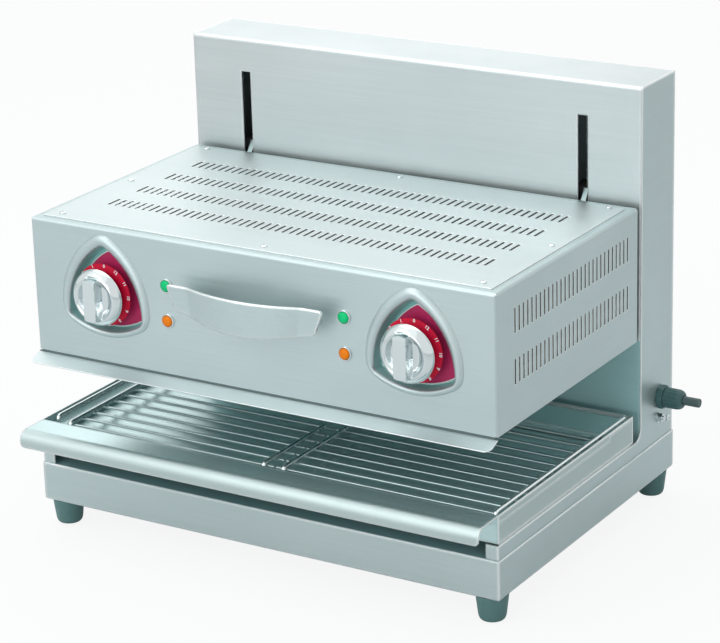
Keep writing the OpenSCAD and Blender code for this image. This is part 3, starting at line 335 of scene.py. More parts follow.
FINISHES = {
    "stainless": sheet_metal("brushed_stainless", FOLDED["dark"], FOLDED["light"], FOLDED["rough"], 0.78),
    "tray_steel": sheet_metal("tray_stainless", (0.41, 0.495, 0.495), (0.47, 0.555, 0.555), (0.42, 0.52),
                              grain_depth=0.03, edge=0.004, painted_light_layers=(TRAY_POLISH_AND_PAINTED_LIGHT,)),
    "inner_steel": sheet_metal("mill_steel", (0.28, 0.38, 0.38), (0.38, 0.48, 0.48), (0.4, 0.5), 0.85),
    "polished_rod": smooth_metal("polished_rod", (0.7, 0.76, 0.76), (0.8, 0.86, 0.86), (0.26, 0.36)),
    "plated_fastener": smooth_metal("plated_fastener", (0.62, 0.67, 0.68), (0.72, 0.77, 0.78), (0.18, 0.3)),
    "chrome": smooth_metal("bright_chrome", (0.6, 0.66, 0.67), (0.7, 0.76, 0.77), (0.1, 0.18), 0.02),
    "dial_red": moulded("crimson_enamel", (0.46, 0.018, 0.1), (0.56, 0.028, 0.13), (0.45, 0.6), 0.08,
                        Specular_IOR_Level=0.25),
    "foot_rubber": moulded("foot_rubber", (0.06, 0.145, 0.14), (0.095, 0.2, 0.193), (0.5, 0.68)),
    "gland_plastic": moulded("gland_nylon", (0.028, 0.09, 0.088), (0.05, 0.13, 0.127), (0.38, 0.55), 0.15),
    "cable_sheath": moulded("cable_sheath", (0.04, 0.085, 0.085), (0.07, 0.12, 0.12), (0.4, 0.55), 0.15),
    "cast_iron": moulded("cast_iron", (0.06, 0.06, 0.065), (0.11, 0.11, 0.115), (0.5, 0.7), 0.5, 400.0,
                         Metallic=0.7),
    "brass": smooth_metal("machined_brass", (0.6, 0.42, 0.16), (0.72, 0.52, 0.22), (0.2, 0.32)),
    "moulded_white": moulded("white_steatite", (0.66, 0.63, 0.55), (0.76, 0.73, 0.66), (0.35, 0.5), 0.1),
    "insulation_wool": moulded("mineral_wool", (0.58, 0.54, 0.44), (0.78, 0.74, 0.64), (0.85, 0.95), 0.9,
                               350.0),
    "element_sheath": moulded("heated_tube", (0.05, 0.045, 0.042), (0.11, 0.09, 0.08), (0.4, 0.6), 0.2, 700.0,
                              Metallic=0.8),
    "green_lens": lens("green_lens", (0.0, 0.6, 0.2), (0.0, 0.14, 0.07)),
    "amber_lens": lens("amber_lens", (0.84, 0.21, 0.0), (0.36, 0.1, 0.0)),
}
COVER_STEEL = sheet_metal("cover_stainless", grain_depth=0.05, **SATIN)
LIP_STEEL = sheet_metal("lip_stainless", painted_light_layers=(LIP_SEAM_PAINTED_SHADE,), **SATIN)
PAN_STEEL = sheet_metal("pan_stainless", painted_light_layers=(PAN_SHADE,), **FOLDED)
PANEL_STEEL = sheet_metal("panel_stainless", **FOLDED)
COLUMN_STEEL = sheet_metal("column_stainless", (0.48, 0.535, 0.54), (0.57, 0.62, 0.625), FOLDED["rough"],
                           edge=FOLDED["edge"], painted_light_layers=(COLUMN_PAINTED_LIGHT,))
# Painted shade: the steel recess walls of the dial rims turn teal and nearly non-metal, lightened against
# their shade.
RECESS_PAINTED_SHADE = sheet_metal("recess_painted_shade", (0.2, 0.5, 0.47), (0.28, 0.58, 0.55), (0.45, 0.55), 0.1)
# Painted shade tint: the reflector under the hood is coloured strong teal so that its reflection in the tray
# floor gives the teal of the tray's shaded part.
REFLECTOR_PAINTED_SHADE = sheet_metal("reflector_painted_shade", (0.17, 0.5, 0.5), (0.24, 0.58, 0.58), (0.4, 0.5), 0.6)
# Painted light: the back of the handle strip is near-white and glossy so that its reflection lightens the
# shade on the hood front behind the handle.
HANDLE_BACK_PAINTED_LIGHT = smooth_metal("handle_back_painted_light", (0.84, 0.89, 0.89), (0.92, 0.96, 0.96), (0.2, 0.3))
# Painted shade: the rack wires are the rods' steel made darker and rougher, so they catch fewer highlights
# than the rods.
WIRE_PAINTED_SHADE = smooth_metal("wire_painted_shade", (0.36, 0.45, 0.45), (0.44, 0.53, 0.53), (0.28, 0.38))
BORDER_SILVER = moulded("border_silver", (0.78, 0.84, 0.84), (0.86, 0.92, 0.92), (0.35, 0.45), 0.04)
DISC_RED = moulded("number_disc_red", (0.48, 0.0, 0.02), (0.58, 0.0, 0.036), (0.5, 0.6), 0.06,
                   Specular_IOR_Level=0.2)
NUMBER_WHITE = moulded("number_white", (0.8, 0.82, 0.84), (0.9, 0.92, 0.94), (0.4, 0.55), 0.05)


# Mesh helpers

def loft(bm, rings, closed=False):
    """Skins a list of rings of points; closed joins the last ring to the first."""
    rows = [[bm.verts.new(point) for point in ring] for ring in rings]
    pairs = list(zip(rows, rows[1:]))
    if closed:
        pairs.append((rows[-1], rows[0]))
    for low, high in pairs:
        count = len(low)
        for i in range(count):
            j = (i + 1) % count
            bm.faces.new((low[i], low[j], high[j], high[i]))
    return rows


def cap(bm, row):
    bm.faces.new(row)


def in_mm(profile):
    """A profile of (radius, height) given in mm."""
    return [(r * MM, h * MM) for r, h in profile]


def circle_points(radius, height, place, count):
    """Ring round the local Z axis of a placing matrix."""
    step = 2 * math.pi / count
    return [place @ Vector((radius * math.cos(i * step), radius * math.sin(i * step), height))
            for i in range(count)]


def lathe(bm, profile, place, count=48, closed=False):
    """Turns a profile of (radius, height) round the local Z axis; open ends are capped."""
    rows = loft(bm, [circle_points(r, h, place, count) for r, h in profile], closed)
    if not closed:
        cap(bm, list(reversed(rows[0])))
        cap(bm, rows[-1])


def tube(bm, path, radius, sides=12):
    """Sweeps a round section along points, with slightly rounded ends."""
    points = [Vector(p) for p in path]
    tangents = []
    for i in range(len(points)):
        ahead = points[min(i + 1, len(points) - 1)]
        behind = points[max(i - 1, 0)]
        tangents.append((ahead - behind).normalized())
    side = tangents[0].orthogonal().normalized()
    sections = []
    for point, tangent in zip(points, tangents):
        side = (side - tangent * side.dot(tangent)).normalized()
        sections.append((point, tangent, side, tangent.cross(side)))
    rings = []
    soft = radius * 0.3

    def ring(section, size, shift):
        point, tangent, across, up = section
        turn = 2 * math.pi / sides
        return [point + tangent * shift + across * size * math.cos(i * turn) + up * size * math.sin(i * turn)
                for i in range(sides)]

    rings.append(ring(sections[0], radius - soft, 0.0))
    rings.append(ring(sections[0], radius, soft))
    for section in sections[1:-1]:
        rings.append(ring(section, radius, 0.0))
    rings.append(ring(sections[-1], radius, -soft))
    rings.append(ring(sections[-1], radius - soft, 0.0))
    rows = loft(bm, rings)
    cap(bm, list(reversed(rows[0])))
    cap(bm, rows[-1])


def relief(bm, radii, count, height, place, back_radius):
    """Round piece whose height above its flat back is given by a function of radius and angle."""
    step = 2 * math.pi / count
    middle = bm.verts.new(place @ Vector((0, 0, height(0.0, 0.0))))
    rings = []
    for r in radii:
        rings.append([place @ Vector((r * math.cos(i * step), r * math.sin(i * step), height(r, i * step)))
                      for i in range(count)])
    rings.append(circle_points(back_radius, 0.0, place, count))
    rows = loft(bm, rings)
    for i in range(count):
        bm.faces.new((middle, rows[0][i], rows[0][(i + 1) % count]))
    cap(bm, list(reversed(rows[-1])))


def smooth_step(value, low, high):
    t = min(max((value - low) / (high - low), 0.0), 1.0)
    return t * t * (3 - 2 * t)


def add_piece(name, bm, body, slot, replaced=(), finish=None, angle=32):
    """Turns a bmesh into a named piece that rides on a CAD body and stands for CAD nodes."""
    bmesh.ops.recalc_face_normals(bm, faces=bm.faces)
    mesh = bpy.data.meshes.new(name)
    bm.to_mesh(mesh)
    bm.free()
    mesh.shade_smooth()
    mesh.set_sharp_from_angle(angle=math.radians(angle))
    mesh.materials.append(finish or FINISHES[slot])
    piece = bpy.data.objects.new(name, mesh)
    bpy.context.scene.collection.objects.link(piece)
    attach(piece, body)
    if replaced:
        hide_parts(*replaced)
    return piece


def facing_front(x, y, z):
    """Placing matrix whose local Z axis points to the front, with local Y up."""
    return Matrix.Translation((x, y, z)) @ Matrix.Rotation(math.radians(90), 4, "X")


def facing_right(x, y, z):
    return Matrix.Translation((x, y, z)) @ Matrix.Rotation(math.radians(90), 4, "Y")


def facing_back(x, y, z):
    return Matrix.Translation((x, y, z)) @ Matrix.Rotation(math.radians(-90), 4, "X")


# Camera, light and floor

def add_camera():
    """Camera fitted to the photo's edges and corners; angles are azimuth, elevation and roll."""
    azimuth, elevation, roll = (math.radians(a) for a in (31.896, 19.537, -1.68))
    target = Vector((0.013007, 0.0075, 0.236578))
    distance = 3.2357
    back = Vector((math.sin(azimuth) * math.cos(elevation), -math.cos(azimuth) * math.cos(elevation),
                   math.sin(elevation)))
    right = (-back).cross(Vector((0, 0, 1))).normalized()
    up = right.cross(-back)
    turned_right = right * math.cos(roll) + up * math.sin(roll)
    turned_up = up * math.cos(roll) - right * math.sin(roll)
    data = bpy.data.cameras.new("camera")
    data.sensor_width = 36
    data.lens = 141.458
    data.clip_end = 100
    camera = bpy.data.objects.new("camera", data)
    turn = Matrix((turned_right, turned_up, back)).transposed().to_4x4()
    camera.matrix_world = Matrix.Translation(target + back * distance) @ turn
    bpy.context.scene.collection.objects.link(camera)
    bpy.context.scene.camera = camera


def seen_directly(tree):
    """One where the surface is seen by the camera, in a reflection or through glass."""
    path = place_node(tree, "LightPath").outputs
    mirrored = math_node(tree, "MAXIMUM", path["Is Glossy Ray"], path["Is Transmission Ray"])
    return math_node(tree, "MAXIMUM", path["Is Camera Ray"], mirrored)


def add_world():
    world = bpy.data.worlds.new("studio")
    bpy.context.scene.world = world
    world.use_nodes = True
    tree = world.node_tree
    tree.nodes.clear()
    soft = place_node(tree, "Background", {"Color": (0.93, 0.97, 1.0, 1), "Strength": 0.7})
    white = place_node(tree, "Background", {"Color": (1, 1, 1, 1), "Strength": 1.0})
    mixed = place_node(tree, "MixShader", {0: seen_directly(tree), 1: soft.outputs[0], 2: white.outputs[0]})
    leave = place_node(tree, "OutputWorld")
    tree.links.new(mixed.outputs[0], leave.inputs["Surface"])


def add_floor():
    bm = bmesh.new()
    lathe(bm, [(9.0, -0.004), (9.0, 0.0)], Matrix.Translation((0, 0, -0.0005)), 96)
    mesh = bpy.data.meshes.new("floor")
    bm.to_mesh(mesh)
    bm.free()
    floor = bpy.data.objects.new("floor", mesh)
    made = bpy.data.materials.new("pale_floor")
    made.use_nodes = True
    tree = made.node_tree
    tree.nodes.clear()
    lit = place_node(tree, "BsdfDiffuse", {"Color": (0.76, 0.77, 0.77, 1)})
    white = place_node(tree, "Emission", {"Color": (1, 1, 1, 1), "Strength": 1.0})
    path = place_node(tree, "LightPath").outputs
    white_to_camera = 0.88
    white_in_mirrors = 0.15
    direct = math_node(tree, "MULTIPLY", path["Is Camera Ray"], white_to_camera)
    mirrored = math_node(tree, "MAXIMUM", path["Is Glossy Ray"], path["Is Transmission Ray"])
    share = math_node(tree, "MAXIMUM", direct, math_node(tree, "MULTIPLY", mirrored, white_in_mirrors))
    mixed = place_node(tree, "MixShader", {0: share, 1: lit.outputs[0], 2: white.outputs[0]})
    leave = place_node(tree, "OutputMaterial")
    tree.links.new(mixed.outputs[0], leave.inputs["Surface"])
    mesh.materials.append(made)
    bpy.context.scene.collection.objects.link(floor)


def add_softbox(name, place, target, size, power):
    data = bpy.data.lights.new(name, "AREA")
    data.shape = "RECTANGLE"
    data.size, data.size_y = size
    data.energy = power
    lamp = bpy.data.objects.new(name, data)
    aim = (Vector(target) - Vector(place)).to_track_quat("-Z", "Y")
    lamp.matrix_world = Matrix.Translation(place) @ aim.to_matrix().to_4x4()
    bpy.context.scene.collection.objects.link(lamp)


def add_lights():
    middle = (0, 0, 0.25)
    add_softbox("overhead_softbox", (-0.5, 0.6, 2.6), middle, (2.6, 2.2), 25)
    add_softbox("front_softbox", (-0.4, -2.8, 1.0), middle, (1.8, 1.4), 16)
    add_softbox("key_softbox", (-1.3, -2.0, 2.3), middle, (1.4, 1.4), 13)
    add_softbox("back_softbox", (-1.6, 2.5, 1.3), middle, (1.4, 1.0), 3.5)
    sun = bpy.data.lights.new("soft_sky", "SUN")
    sun.energy = 0.3
    sun.angle = math.radians(70)
    lamp = bpy.data.objects.new("soft_sky", sun)
    lamp.rotation_euler = (math.radians(28), math.radians(-24), 0)
    bpy.context.scene.collection.objects.link(lamp)


# Dials

# Rounded three-sided rings: width, corner radius, rise of the middle, depth behind the hood's front, in mm
RIM_RINGS = [
    (120.0, 24.0, 3.5, 0.0),
    (118.8, 23.4, 3.4, -0.8),
    (116.4, 22.1, 3.2, -2.0),
    (113.4, 20.2, 2.9, -3.2),
    (110.2, 17.8, 2.5, -3.9),
    (107.4, 15.4, 2.0, -4.0),
    (104.6, 12.7, 1.4, -3.6),
    (102.0, 10.0, 0.7, -2.8),
    (100.0, 8.0, 0.2, -1.9),
    (99.0, 7.2, 0.0, -1.0),
    (98.7, 7.0, 0.0, 0.0),
    (96.4, 6.0, -0.6, 5.0),
    (94.2, 5.2, -1.4, 11.3),
    (92.6, 4.8, -1.6, 12.0),
    (9.0, 4.5, 0.0, 12.0),
    (9.0, 4.5, 0.0, 13.2),
    (101.4, 8.2, 0.0, 13.2),
    (101.4, 8.2, 0.0, 0.0),
]
# Rings whose faces take the recess walls' painted shade.
RECESS_RINGS = (9, 10, 11, 12, 13)
FACE_RINGS = [
    (9.0, 4.5, 0.0, 11.9),
    (9.0, 4.5, 0.0, 11.0),
    (85.4, 4.2, -2.5, 11.0),
    (86.0, 4.4, -2.5, 11.3),
    (86.0, 4.4, -2.5, 11.9),
]
BORDER_RINGS = [
    (86.1, 4.4, -2.5, 11.9),
    (86.1, 4.4, -2.5, 10.4),
    (87.0, 4.6, -2.5, 10.0),
    (88.4, 4.9, -2.5, 10.2),
    (88.8, 5.0, -2.5, 11.9),
]


def dial_ring(x, width, corner, rise, depth, count=120):
    """Points of a rounded three-sided outline, taken by the angle of its normal."""
    side = width - 2 * corner
    third = 2 * math.pi / 3
    ring = []
    for i in range(count):
        angle = 2 * math.pi * i / count
        nearest = math.pi / 2 + third * round((angle - math.pi / 2) / third)
        off = angle - nearest
        middle, radius = nearest, corner
        if abs(off) > math.pi / 6 + 1e-6:
            middle = nearest + (2 * third if off > 0 else third)
            radius = side + corner
        across = side / math.sqrt(3) * math.cos(middle) + radius * math.cos(angle)
        up = side / math.sqrt(3) * math.sin(middle) + radius * math.sin(angle)
        ring.append(Vector((x + across * MM, HOOD_FRONT + depth * MM, DIAL_Z + (up + rise) * MM)))
    return ring


def dial_pair(rings):
    """Both dials' skins through the same rings."""
    bm = bmesh.new()
    for x in (-DIAL_X, DIAL_X):
        loft(bm, [dial_ring(x, *ring) for ring in rings], closed=True)
    return bm


def add_dial_rims():
    bm = dial_pair(RIM_RINGS)
    bm.faces.ensure_lookup_table()
    rings = len(RIM_RINGS)
    per_ring = len(bm.faces) // (2 * rings)
    for number, face in enumerate(bm.faces):
        if number // per_ring % rings in RECESS_RINGS:
            face.material_index = 1
    piece = add_piece("dial_rims", bm, "hood", "stainless", ("dial_cups",), angle=40)
    piece.data.materials.append(RECESS_PAINTED_SHADE)


def add_dial_faces():
    add_piece("dial_faces", dial_pair(FACE_RINGS), "hood", "dial_red", ("dial_plates",))
    add_piece("dial_face_borders", dial_pair(BORDER_RINGS), "hood", "polished_rod", finish=BORDER_SILVER)


DISC_BORE_R = 3.1
DISC_HUB_R = 15.0
DISC_HUB = [(DISC_BORE_R, 0.0), (14.6, 0.0), (DISC_HUB_R, -0.4), (DISC_HUB_R, -2.6), (15.4, -3.0)]
DISC_RIM = [(35.1, -3.0), (35.7, -3.3), (36.0, -3.9), (35.8, -5.0), (15.5, -5.0), (DISC_HUB_R, -5.5)]
DIAL_STEPS = 13
NUMBER_R = 34.0 * MM
NUMBER_SIZE = 5.4 * MM
NUMBER_DEPTH = 2.9 * MM
FIRST_NUMBER_TURN = math.radians(4.7)


def disc_place(side, x):
    return facing_front(x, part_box("number_disc_" + side)[0].y, DIAL_Z)


def add_number_disc(side, x):
    low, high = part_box("number_disc_" + side)
    reach = high.y - low.y
    back = [(DISC_HUB_R * MM, -reach), (DISC_BORE_R * MM, -reach)]
    bm = bmesh.new()
    lathe(bm, in_mm(DISC_HUB + DISC_RIM) + back, disc_place(side, x), 96, closed=True)
    add_piece("red_disc_" + side, bm, side + "_knob", "dial_red", ("number_disc_" + side,), DISC_RED)


def number_mesh(label):
    """A mesh of one number, its holder and its curve."""
    font = bpy.data.curves.new("number", "FONT")
    font.body = label
    font.size = NUMBER_SIZE
    font.align_x = "CENTER"
    font.align_y = "CENTER"
    font.extrude = 0.08 * MM
    font.offset = 0.12 * MM
    font.resolution_u = 3
    holder = bpy.data.objects.new("number", font)
    return holder.to_mesh(), holder, font


def add_numbers(side, x):
    """Numbers that fall clockwise from 0 at the top."""
    place = disc_place(side, x)
    bm = bmesh.new()
    for i in range(DIAL_STEPS):
        shape, holder, font = number_mesh(str((DIAL_STEPS - i) % DIAL_STEPS))
        turn = Matrix.Rotation(-2 * math.pi * i / DIAL_STEPS - FIRST_NUMBER_TURN, 4, "Z")
        shape.transform(place @ turn @ Matrix.Translation((0, NUMBER_R, -NUMBER_DEPTH)))
        bm.from_mesh(shape)
        holder.to_mesh_clear()
        bpy.data.objects.remove(holder)
        bpy.data.curves.remove(font)
    bmesh.ops.remove_doubles(bm, verts=bm.verts, dist=1e-6)
    add_piece("numbers_" + side, bm, side + "_knob", "dial_red", finish=NUMBER_WHITE)


# Knobs, in mm
KNOB_R = 33.0
KNOB_BACK_R = 27.5
KNOB_TOP = 25.0
SKIRT_R = 26.0
SKIRT_TOP = 16.0
SKIRT_FALL = 7.0
BEAD_R = 25.3
DISH_R = 24.6
DISH_DEPTH = 6.0
GRIP_HALF = 9.0
GRIP_REACH = 25.6


def knob_height(r, angle):
    """Height of the knob's face above its back, in mm, with the grip bar along local Y."""
    across = abs(r * math.cos(angle))
    along = abs(r * math.sin(angle))
    skirt = SKIRT_TOP - SKIRT_FALL * max((r - SKIRT_R) / (KNOB_R - SKIRT_R), 0.0) ** 1.5
    dish = smooth_step(DISH_R - r, 0.0, 7.5) * (0.55 + 0.45 * smooth_step(across, GRIP_HALF, 15.0))
    bead = 0.5 * math.exp(-((r - BEAD_R) / 0.8) ** 2)
    face = skirt - DISH_DEPTH * dish + bead
    half = GRIP_HALF - 0.5 * smooth_step(along, 6.0, 25.0)
    grip = smooth_step(half + 0.5 - across, 0.0, 1.3) * smooth_step(GRIP_REACH - r, 0.0, 1.3)
    crown = KNOB_TOP - 0.5 * (across / GRIP_HALF) ** 4 - 0.4 * smooth_step(along, 18.0, 25.5)
    notch = 1.3 * math.exp(-((r - SKIRT_R) / 0.55) ** 2) * smooth_step(8.6 - across, 0.0, 0.8)
    return face - notch + (crown - face) * grip


def add_knob(side, x):
    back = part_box("knob_" + side)[1].y - 0.05 * MM
    place = facing_front(x, back, DIAL_Z)
    coarse = [0.8 * i for i in range(1, 25)]
    fine = [19.8 + 0.45 * i for i in range(0, 18)]
    skirt = [28.0, 28.8, 29.6, 30.4, 31.2, 32.0, 32.5, 32.85, KNOB_R]
    bm = bmesh.new()

    def height(r, angle):
        rounded = 1.2 * smooth_step(r / MM, 31.8, KNOB_R)
        return min(knob_height(r / MM, angle) - rounded, KNOB_TOP - 0.1) * MM

    relief(bm, [r * MM for r in coarse + fine + skirt], 240, height, place, KNOB_BACK_R * MM)
    add_piece("grip_knob_" + side, bm, side + "_knob", "chrome", ("knob_" + side,), angle=50)


# Lamps

LAMP_X = 115 * MM
LAMP_UP = {"green": 104 * MM, "amber": 63 * MM}
BEZEL_PROFILE = [(6.6, -18.0), (7.3, -18.0), (7.3, 0.0), (8.25, 0.0), (8.25, 1.1), (8.0, 1.9), (7.5, 2.4),
                 (7.0, 2.4), (6.6, 1.9)]
LENS_PROFILE = [(6.4, 0.2), (6.4, 2.4), (6.2, 3.0), (5.6, 3.7), (4.6, 4.2), (3.3, 4.6), (1.7, 4.8),
                (0.3, 4.85)]


def add_lamps():
    bodies = bmesh.new()
    lenses = {}
    for name, up in LAMP_UP.items():
        lenses[name] = bmesh.new()
        for x in (-LAMP_X, LAMP_X):
            place = facing_front(x, HOOD_FRONT, HOOD_LOW.z + up)
            lathe(bodies, in_mm(BEZEL_PROFILE), place, 40, closed=True)
            lathe(lenses[name], in_mm(LENS_PROFILE), place, 36)
    add_piece("lamp_bezels", bodies, "hood", "plated_fastener", ("lamp_bodies",))
    for name, bm in lenses.items():
        add_piece(name + "_lamp_domes", bm, "hood", name + "_lens", (name + "_lenses",), angle=60)


# Handle, in mm

HANDLE_GAP = 21.0
STRIP_HEIGHT = 40.0
STRIP_THICKNESS = 2.0
STRIP_HALF_LOW = 92.0
STRIP_FLARE = 8.0
LOW_EDGE_RISE = 12.0
CORNER_START = 0.95
BEND_LOW = 68.5
BEND_FLARE = 5.5
BOW = 14.0


def corner_drop(t, start, radius):
    """How far a rounded corner pulls an edge in, from a place near the end of the strip, in mm."""
    past = max((abs(t) - start) / (1.0 - start), 0.0)
    return radius * (1.0 - math.sqrt(max(1.0 - past * past, 0.0)))


def handle_point(t, v):
    """Point of the strip's outline: along it from -1 to 1, up it from 0 to 1, in mm from its lower edge."""
    x = t * (STRIP_HALF_LOW + STRIP_FLARE * v)
    low = LOW_EDGE_RISE * t * t + corner_drop(t, CORNER_START, 5.0)
    high = STRIP_HEIGHT - corner_drop(t, 0.97, 3.0)
    return x, low + (high - low) * v


def handle_depth(x, up):
    """Distance of the strip's front face in front of its wings: a bow between two slanted bends, in mm."""
    bend = BEND_LOW + BEND_FLARE * up / STRIP_HEIGHT
    radius = (bend ** 2 + BOW ** 2) / (2 * BOW)
    inside = radius ** 2 - x ** 2
    bow = math.sqrt(inside) - (radius - BOW) if inside > 0 else -1.0
    soft = 0.4
    return 0.5 * (bow + math.sqrt(bow * bow + soft * soft)) - 0.5 * soft * 0.3


def strip_places():
    """Places along the strip from -1 to 1, closer together at the rounded ends."""
    flat = [CORNER_START * i / 40 for i in range(41)]
    corner = [CORNER_START + 0.05 * math.sin(math.radians(15 * k)) for k in range(1, 7)]
    half = flat + corner
    return [-t for t in reversed(half[1:])] + half


def strip_points(t, v, low_z):
    """A point of the strip's front face and the one behind it."""
    wing = HOOD_FRONT - HANDLE_GAP * MM
    x, up = handle_point(t, v)
    slope = handle_depth(x + 0.5, up) - handle_depth(x - 0.5, up)
    normal = Vector((-slope, 1.0)).normalized() * STRIP_THICKNESS
    y = wing - max(handle_depth(x, up), 0.0) * MM
    z = low_z + up * MM
    return (x * MM, y, z), ((x - normal.x * 0.5) * MM, y + normal.y * MM, z)


def add_handle():
    low_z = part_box("handle")[0].z
    places = strip_places()
    columns = len(places) - 1
    rows = 13
    bm = bmesh.new()
    front, back = [], []
    for j in range(rows):
        pairs = [strip_points(t, j / (rows - 1), low_z) for t in places]
        front.append([bm.verts.new(pair[0]) for pair in pairs])
        back.append([bm.verts.new(pair[1]) for pair in pairs])
    for j in range(rows - 1):
        for i in range(columns):
            bm.faces.new((front[j][i], front[j][i + 1], front[j + 1][i + 1], front[j + 1][i]))
            behind = bm.faces.new((back[j][i], back[j + 1][i], back[j + 1][i + 1], back[j][i + 1]))
            behind.material_index = 1
        for i in (0, columns):
            bm.faces.new((front[j][i], front[j + 1][i], back[j + 1][i], back[j][i]))
    for i in range(columns):
        for j in (0, rows - 1):
            bm.faces.new((front[j][i], back[j][i], back[j][i + 1], front[j][i + 1]))
    piece = add_piece("handle_strip", bm, "hood", "chrome", ("handle",), PANEL_STEEL)
    # The back faces take the painted light of the handle's back.
    piece.data.materials.append(HANDLE_BACK_PAINTED_LIGHT)
    soften = piece.modifiers.new("rounded_edges", "BEVEL")
    soften.width = 0.55 * MM
    soften.segments = 2
    soften.limit_method = "ANGLE"
    soften.angle_limit = math.radians(50)


# Screws

SCREW_RINGS = (0.08, 0.16, 0.24, 0.32, 0.4, 0.48, 0.54, 0.6, 0.66, 0.75, 0.85, 0.94, 1.0)
COVER_T = 1.2 * MM
COVER_SCREW_X = 271 * MM
MIDDLE_SCREW_X = 277 * MM
REAR_SCREW_X = 291.8 * MM
REAR_SCREW_LOW = 91 * MM
REAR_SCREW_SPAN = (489.8 - 91) * MM
SIDE_SCREW = (300 * MM, 220.9 * MM, 96 * MM)


def screw_head(bm, place, radius=3.8 * MM, rise=2.2 * MM):
    """Domed head with a cross recess."""
    soft = 0.3 * MM
    half_slot = 0.75 * MM
    slot_reach = 2.3 * MM
    slot_depth = 1.2 * MM

    def height(r, angle):
        u = abs(r * math.cos(angle + math.pi / 4))
        v = abs(r * math.sin(angle + math.pi / 4))
        dome = rise * (1 - 0.55 * (r / radius) ** 2.2)
        slot = smooth_step(half_slot - min(u, v), 0.0, soft) * smooth_step(slot_reach - r, 0.0, soft)
        return dome - slot_depth * slot

    relief(bm, [radius * k for k in SCREW_RINGS], 56, height, place, radius)


def add_cover_screws():
    top = HOOD_HIGH.z + COVER_T
    back = HOOD_HIGH.y - 15 * MM
    front = HOOD_FRONT + 24 * MM
    middle = (HOOD_FRONT + HOOD_HIGH.y) / 2
    spots = [(s * COVER_SCREW_X, y) for s in (-1, 0, 1) for y in (front, back)]
    spots += [(s * MIDDLE_SCREW_X, middle) for s in (-1, 1)]
    bm = bmesh.new()
    for turn, (x, y) in enumerate(spots):
        screw_head(bm, Matrix.Translation((x, y, top)) @ Matrix.Rotation(0.7 * turn, 4, "Z"))
    add_piece("cover_screw_heads", bm, "hood", "plated_fastener", ("cover_plate_screws",), angle=40)


def add_case_screws():
    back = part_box("rear_cover")[1].y
    bm = bmesh.new()
    for s in (-1, 1):
        for i in range(4):
            z = REAR_SCREW_LOW + REAR_SCREW_SPAN * i / 3
            place = facing_back(s * REAR_SCREW_X, back, z)
            screw_head(bm, place @ Matrix.Rotation(0.9 * i + s, 4, "Z"))
    screw_head(bm, facing_right(*SIDE_SCREW) @ Matrix.Rotation(0.4, 4, "Z"))
    add_piece("case_screw_heads", bm, "stand", "plated_fastener", ("case_screws",), angle=40)


# Tray racks

ROD_R = 2.5 * MM
ROD_Z = 129 * MM
ROD_BEND = 5 * MM
LEDGE_Z = 120 * MM
LEG_FRONT = -183.5 * MM
LEG_BACK = 118.3 * MM
RAIL_X = -289.8 * MM
RAIL_SETBACK = 10 * MM
WIRE_R = 1.5 * MM
WIRE_COUNT = 12
WIRE_PITCH = 21.1 * MM
FIRST_WIRE = -179.3 * MM
WIRE_STEPS = 16
WELD_DEPTH = 0.2 * MM
# Left and right ends of the wires and the places of the two rods, in mm
RACKS = {"left": (-268.5, 13.0, (-265.0, 1.0)), "right": (15.0, 296.5, (27.0, 293.0))}


def bent_rod(bm, x, front=LEG_FRONT):
    """Rod along Y that turns down in front to stand on the tray's ledge; its back end lies on the shelf."""
    path = [(x, front, LEDGE_Z), (x, front, ROD_Z - ROD_BEND)]
    for k in range(1, 6):
        a = math.radians(18 * k)
        path.append((x, front + ROD_BEND * (1 - math.cos(a)), ROD_Z - ROD_BEND * (1 - math.sin(a))))
    path += [(x, LEG_BACK, ROD_Z), (x, LEG_BACK + 0.9 * ROD_R, ROD_Z)]
    tube(bm, path, ROD_R, 14)


def add_rack(side, left, right, rods):
    bm = bmesh.new()
    for x in rods:
        bent_rod(bm, x * MM)
    add_piece("rack_rods_" + side, bm, side + "_rack", "polished_rod", ("rack_" + side,))
    bm = bmesh.new()
    wire_z = ROD_Z - ROD_R - WIRE_R + WELD_DEPTH
    for i in range(WIRE_COUNT):
        y = FIRST_WIRE + WIRE_PITCH * i
        path = [((left + (right - left) * k / WIRE_STEPS) * MM, y, wire_z) for k in range(WIRE_STEPS + 1)]
        tube(bm, path, WIRE_R, 12)
    # The wires take the darker, painted-shade copy of the rod steel.
    add_piece("rack_wires_" + side, bm, side + "_rack", "polished_rod", finish=WIRE_PAINTED_SHADE)


def add_stop_rail():
    bm = bmesh.new()
    bent_rod(bm, RAIL_X, LEG_FRONT + RAIL_SETBACK)
    add_piece("stop_rail", bm, "tray", "polished_rod", ("rack_stop_rail",))


# Feet and supply

FOOT_X = 282.2 * MM
FOOT_FRONT = -173.5 * MM
FOOT_BACK = 214.5 * MM
FOOT_PROFILE = [(4.3, 30.0), (4.3, 14.0), (8.8, 14.0), (8.8, 0.4), (9.2, 0.0), (11.2, 0.0), (12.9, 0.6),
                (14.2, 1.9), (15.0, 3.8), (15.6, 6.5), (18.1, 27.5), (18.4, 29.0), (18.1, 30.0)]
GLAND = (300 * MM, 199.3 * MM, 130 * MM)
GLAND_BORE_R = 5.55
GLAND_THREAD_R = 10.0
GLAND_NECK_R = 9.0
GLAND_RIBS = 16
# Radius, height and depth of the ribs, in mm
DOME_NUT = [(9.3, 8.1, 0.0), (11.2, 8.1, 0.0), (11.9, 8.8, 0.0), (12.0, 9.6, 0.7), (12.0, 22.0, 0.7),
            (11.9, 24.0, 0.6), (11.5, 26.2, 0.3), (10.7, 28.2, 0.0), (9.5, 29.8, 0.0), (8.0, 30.8, 0.0),
            (6.6, 31.0, 0.0), (5.7, 30.4, 0.0), (5.5, 29.0, 0.0), (5.5, 18.2, 0.0), (9.3, 18.0, 0.0)]


